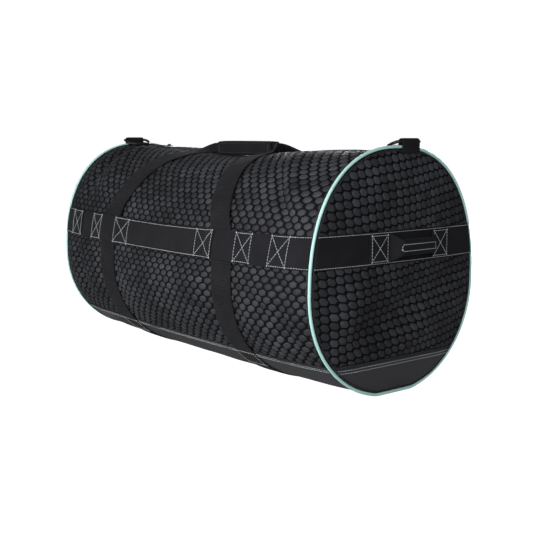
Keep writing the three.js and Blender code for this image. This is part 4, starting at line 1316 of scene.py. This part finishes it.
# a box with its two diagonals, in flat coordinates (along, up), leaning by lean at the top
def crossBox(centre, width, height, lean=0.0):
    w, h = width / 2, height / 2
    foot, top = centre - lean / 2, centre + lean / 2
    corners = [(foot - w, -h), (foot + w, -h), (top + w, h), (top - w, h)]
    return outlineRuns(corners) + [straight(corners[0], corners[2]), straight(corners[1], corners[3])]


def sewnBox(name, side, lean=0.0):
    at, width = thread[name]
    return crossBox(side * at, width, 2 * insetHalf, side * lean)


def beltStitches():
    plain, label, tails = [], [], []
    for side in (1, -1):
        plain += sewnBox("beltBox", side)
        tails += sewnBox("tailBox", side, thread["tailLean"])
        label += sewnBox("labelBox", side)
        for up in (-insetHalf, insetHalf):
            tails.append(straight((side * thread["tailLineFrom"], up), (side * (wallEnd - 1.5), up)))
    for up in (-insetHalf, insetHalf):
        label.append(straight((-thread["labelLine"], up), (thread["labelLine"], up)))
    for facing, word in facings:
        lines = []
        for seat, runs in ((beltSeat, plain), (labelSeat, label if facing > 0 else []), (tailSeat, tails)):
            for x, up in (run.T for run in runs):
                lines.append(onSkin(x, facing * (beltArc - up), seat(x) + web + thread["beltLift"]))
        sew(f"belt_stitches_{word}", lines)


# rows of stitches right across an end panel at some heights
def endRows(side, heights, short, lift, count):
    lines = []
    for z in heights:
        edge, _ = endEdge(z, bag["pipingRadius"] + gap)
        point = endFace(side, np.linspace(-edge + short, edge - short, count), z)
        point[:, 0] += side * lift
        lines.append(point)
    return lines


def endStitches(end):
    side = end["side"]
    heights = [bag["beltHeight"] + up for up in (-insetHalf, insetHalf)]
    lines = endRows(side, heights, 2, gap + web + thread["lift"], 110)
    half = grab["length"] / 2

    def onGrab(run, share, lift):
        point, thickness, _ = grabCentre(end, run[:, 0])
        point[:, 0] += side * (thickness / 2 * share + lift)
        point[:, 2] += run[:, 1]
        lines.append(point)

    for centre in (-half + grab["foot"] / 2 + 0.5, half - grab["foot"] / 2 - 0.5):
        for run in crossBox(centre, grab["foot"] - 5, grab["width"] - 2 * thread["inset"]):
            onGrab(run, 1, thread["lift"])
    reach = half - grab["foot"] - grab["ramp"] + 3
    corners = [(-reach, -3), (2 - reach, -5), (reach - 2, -5), (reach, -3),
               (reach, 3), (reach - 2, 5), (2 - reach, 5), (-reach, 3)]
    loop = [straight(corners[i], corners[(i + 1) % 8], 1.5)[:-1] for i in range(8)]
    onGrab(np.vstack(loop + [[corners[0]]]), thread["gripShare"], thread["beltLift"])
    sew(f"end_stitches_{end['word']}", lines)


def baseStitches():
    lines = []
    x = np.linspace(-wallEnd + 2, wallEnd - 2, 220)
    for facing, _ in facings:
        for below in thread["baseRows"]:
            for run in betweenStraps(x, 1):
                lines.append(onSkin(run, facing * (seamArc + below), thread["baseLift"]))
    heights = [bag["seamHeight"] - below for below in thread["baseRows"]]
    for end in ends:
        lines += endRows(end["side"], heights, 3, thread["baseLift"], 90)
    sew("base_stitches", lines, "coated_cloth")
    feet = []
    for facing, _ in facings:
        for end in ends:
            near, far = (end["side"] * bag["strapAt"] + part * insetHalf for part in (-1, 1))
            top, foot = (seamArc + below for below in thread["footBox"])
            for run in outlineRuns([(near, top), (far, top), (far, foot), (near, foot)]):
                feet.append(onSkin(run[:, 0], facing * run[:, 1], gap + web + thread["lift"]))
    sew("strap_stitches", feet)


beltStitches()
for end in ends:
    endStitches(end)
baseStitches()
bpy.data.objects.remove(stitch)
print("stitches made")

# Floor and light
studio = {
    "floorReach": 40000, "floorDrop": 0.0002, "floorTone": 0.45, "floorGlow": 0.97, "sky": 0.15,
    # place, target, size, power
    "lamps": {
        "key": ((0.25, -1.35, 0.5), (0.08, 0, 0.22), 0.6, 18),
        "fill": ((2.0, -1.3, 1.0), (0.3, 0, 0.18), 0.9, 28),
        "top": ((-0.2, 0.9, 2.6), (0, 0, 0.2), 2.0, 1.5),
        "back": ((-1.7, 2.1, 0.5), (-0.1, 0, 0.17), 1.4, 115),
    },
}


def layFloor():
    far = studio["floorReach"]
    corners = [(-far, -far, 0), (far, -far, 0), (far, far, 0), (-far, far, 0)]
    floor = newObject("floor", corners, [(0, 1, 2, 3)], smooth=False)
    paint = bpy.data.materials.new("floorPaint")
    paint.use_nodes = True
    tree = paint.node_tree
    seen = addNode(tree, "ShaderNodeLightPath")["Is Camera Ray"]
    feed(tree, tree.nodes["Principled BSDF"], {
        "Base Color": (*[studio["floorTone"]] * 3, 1), "Roughness": 0.9, "Emission Color": (1, 1, 1, 1),
        "Emission Strength": calc(tree, "MULTIPLY", seen, studio["floorGlow"]),
    })
    floor.data.materials.append(paint)
    floor.location.z = -studio["floorDrop"]


# a dim sky that the camera sees as plain white
def setSky():
    world = bpy.data.worlds.new("world")
    bpy.context.scene.world = world
    world.use_nodes = True
    tree = world.node_tree
    sky = tree.nodes["Background"]
    feed(tree, sky, {0: (1, 1, 1, 1), 1: studio["sky"]})
    backdrop = addNode(tree, "ShaderNodeBackground", {0: (1, 1, 1, 1), 1: 1.0})[0]
    seen = addNode(tree, "ShaderNodeLightPath")["Is Camera Ray"]
    mixed = addNode(tree, "ShaderNodeMixShader", {0: seen, 1: sky.outputs[0], 2: backdrop})[0]
    tree.links.new(mixed, tree.nodes["World Output"].inputs[0])


layFloor()
setSky()
for name, (place, target, size, power) in studio["lamps"].items():
    light = bpy.data.lights.new(name, "AREA")
    light.size = size
    light.energy = power
    aim(addObject(name, light), place, Vector(target) - Vector(place))
bpy.context.scene.view_settings.view_transform = "Standard"
bpy.context.scene.view_settings.look = "None"


def plain(box):
    return [[float(v) for v in corner] for corner in box]
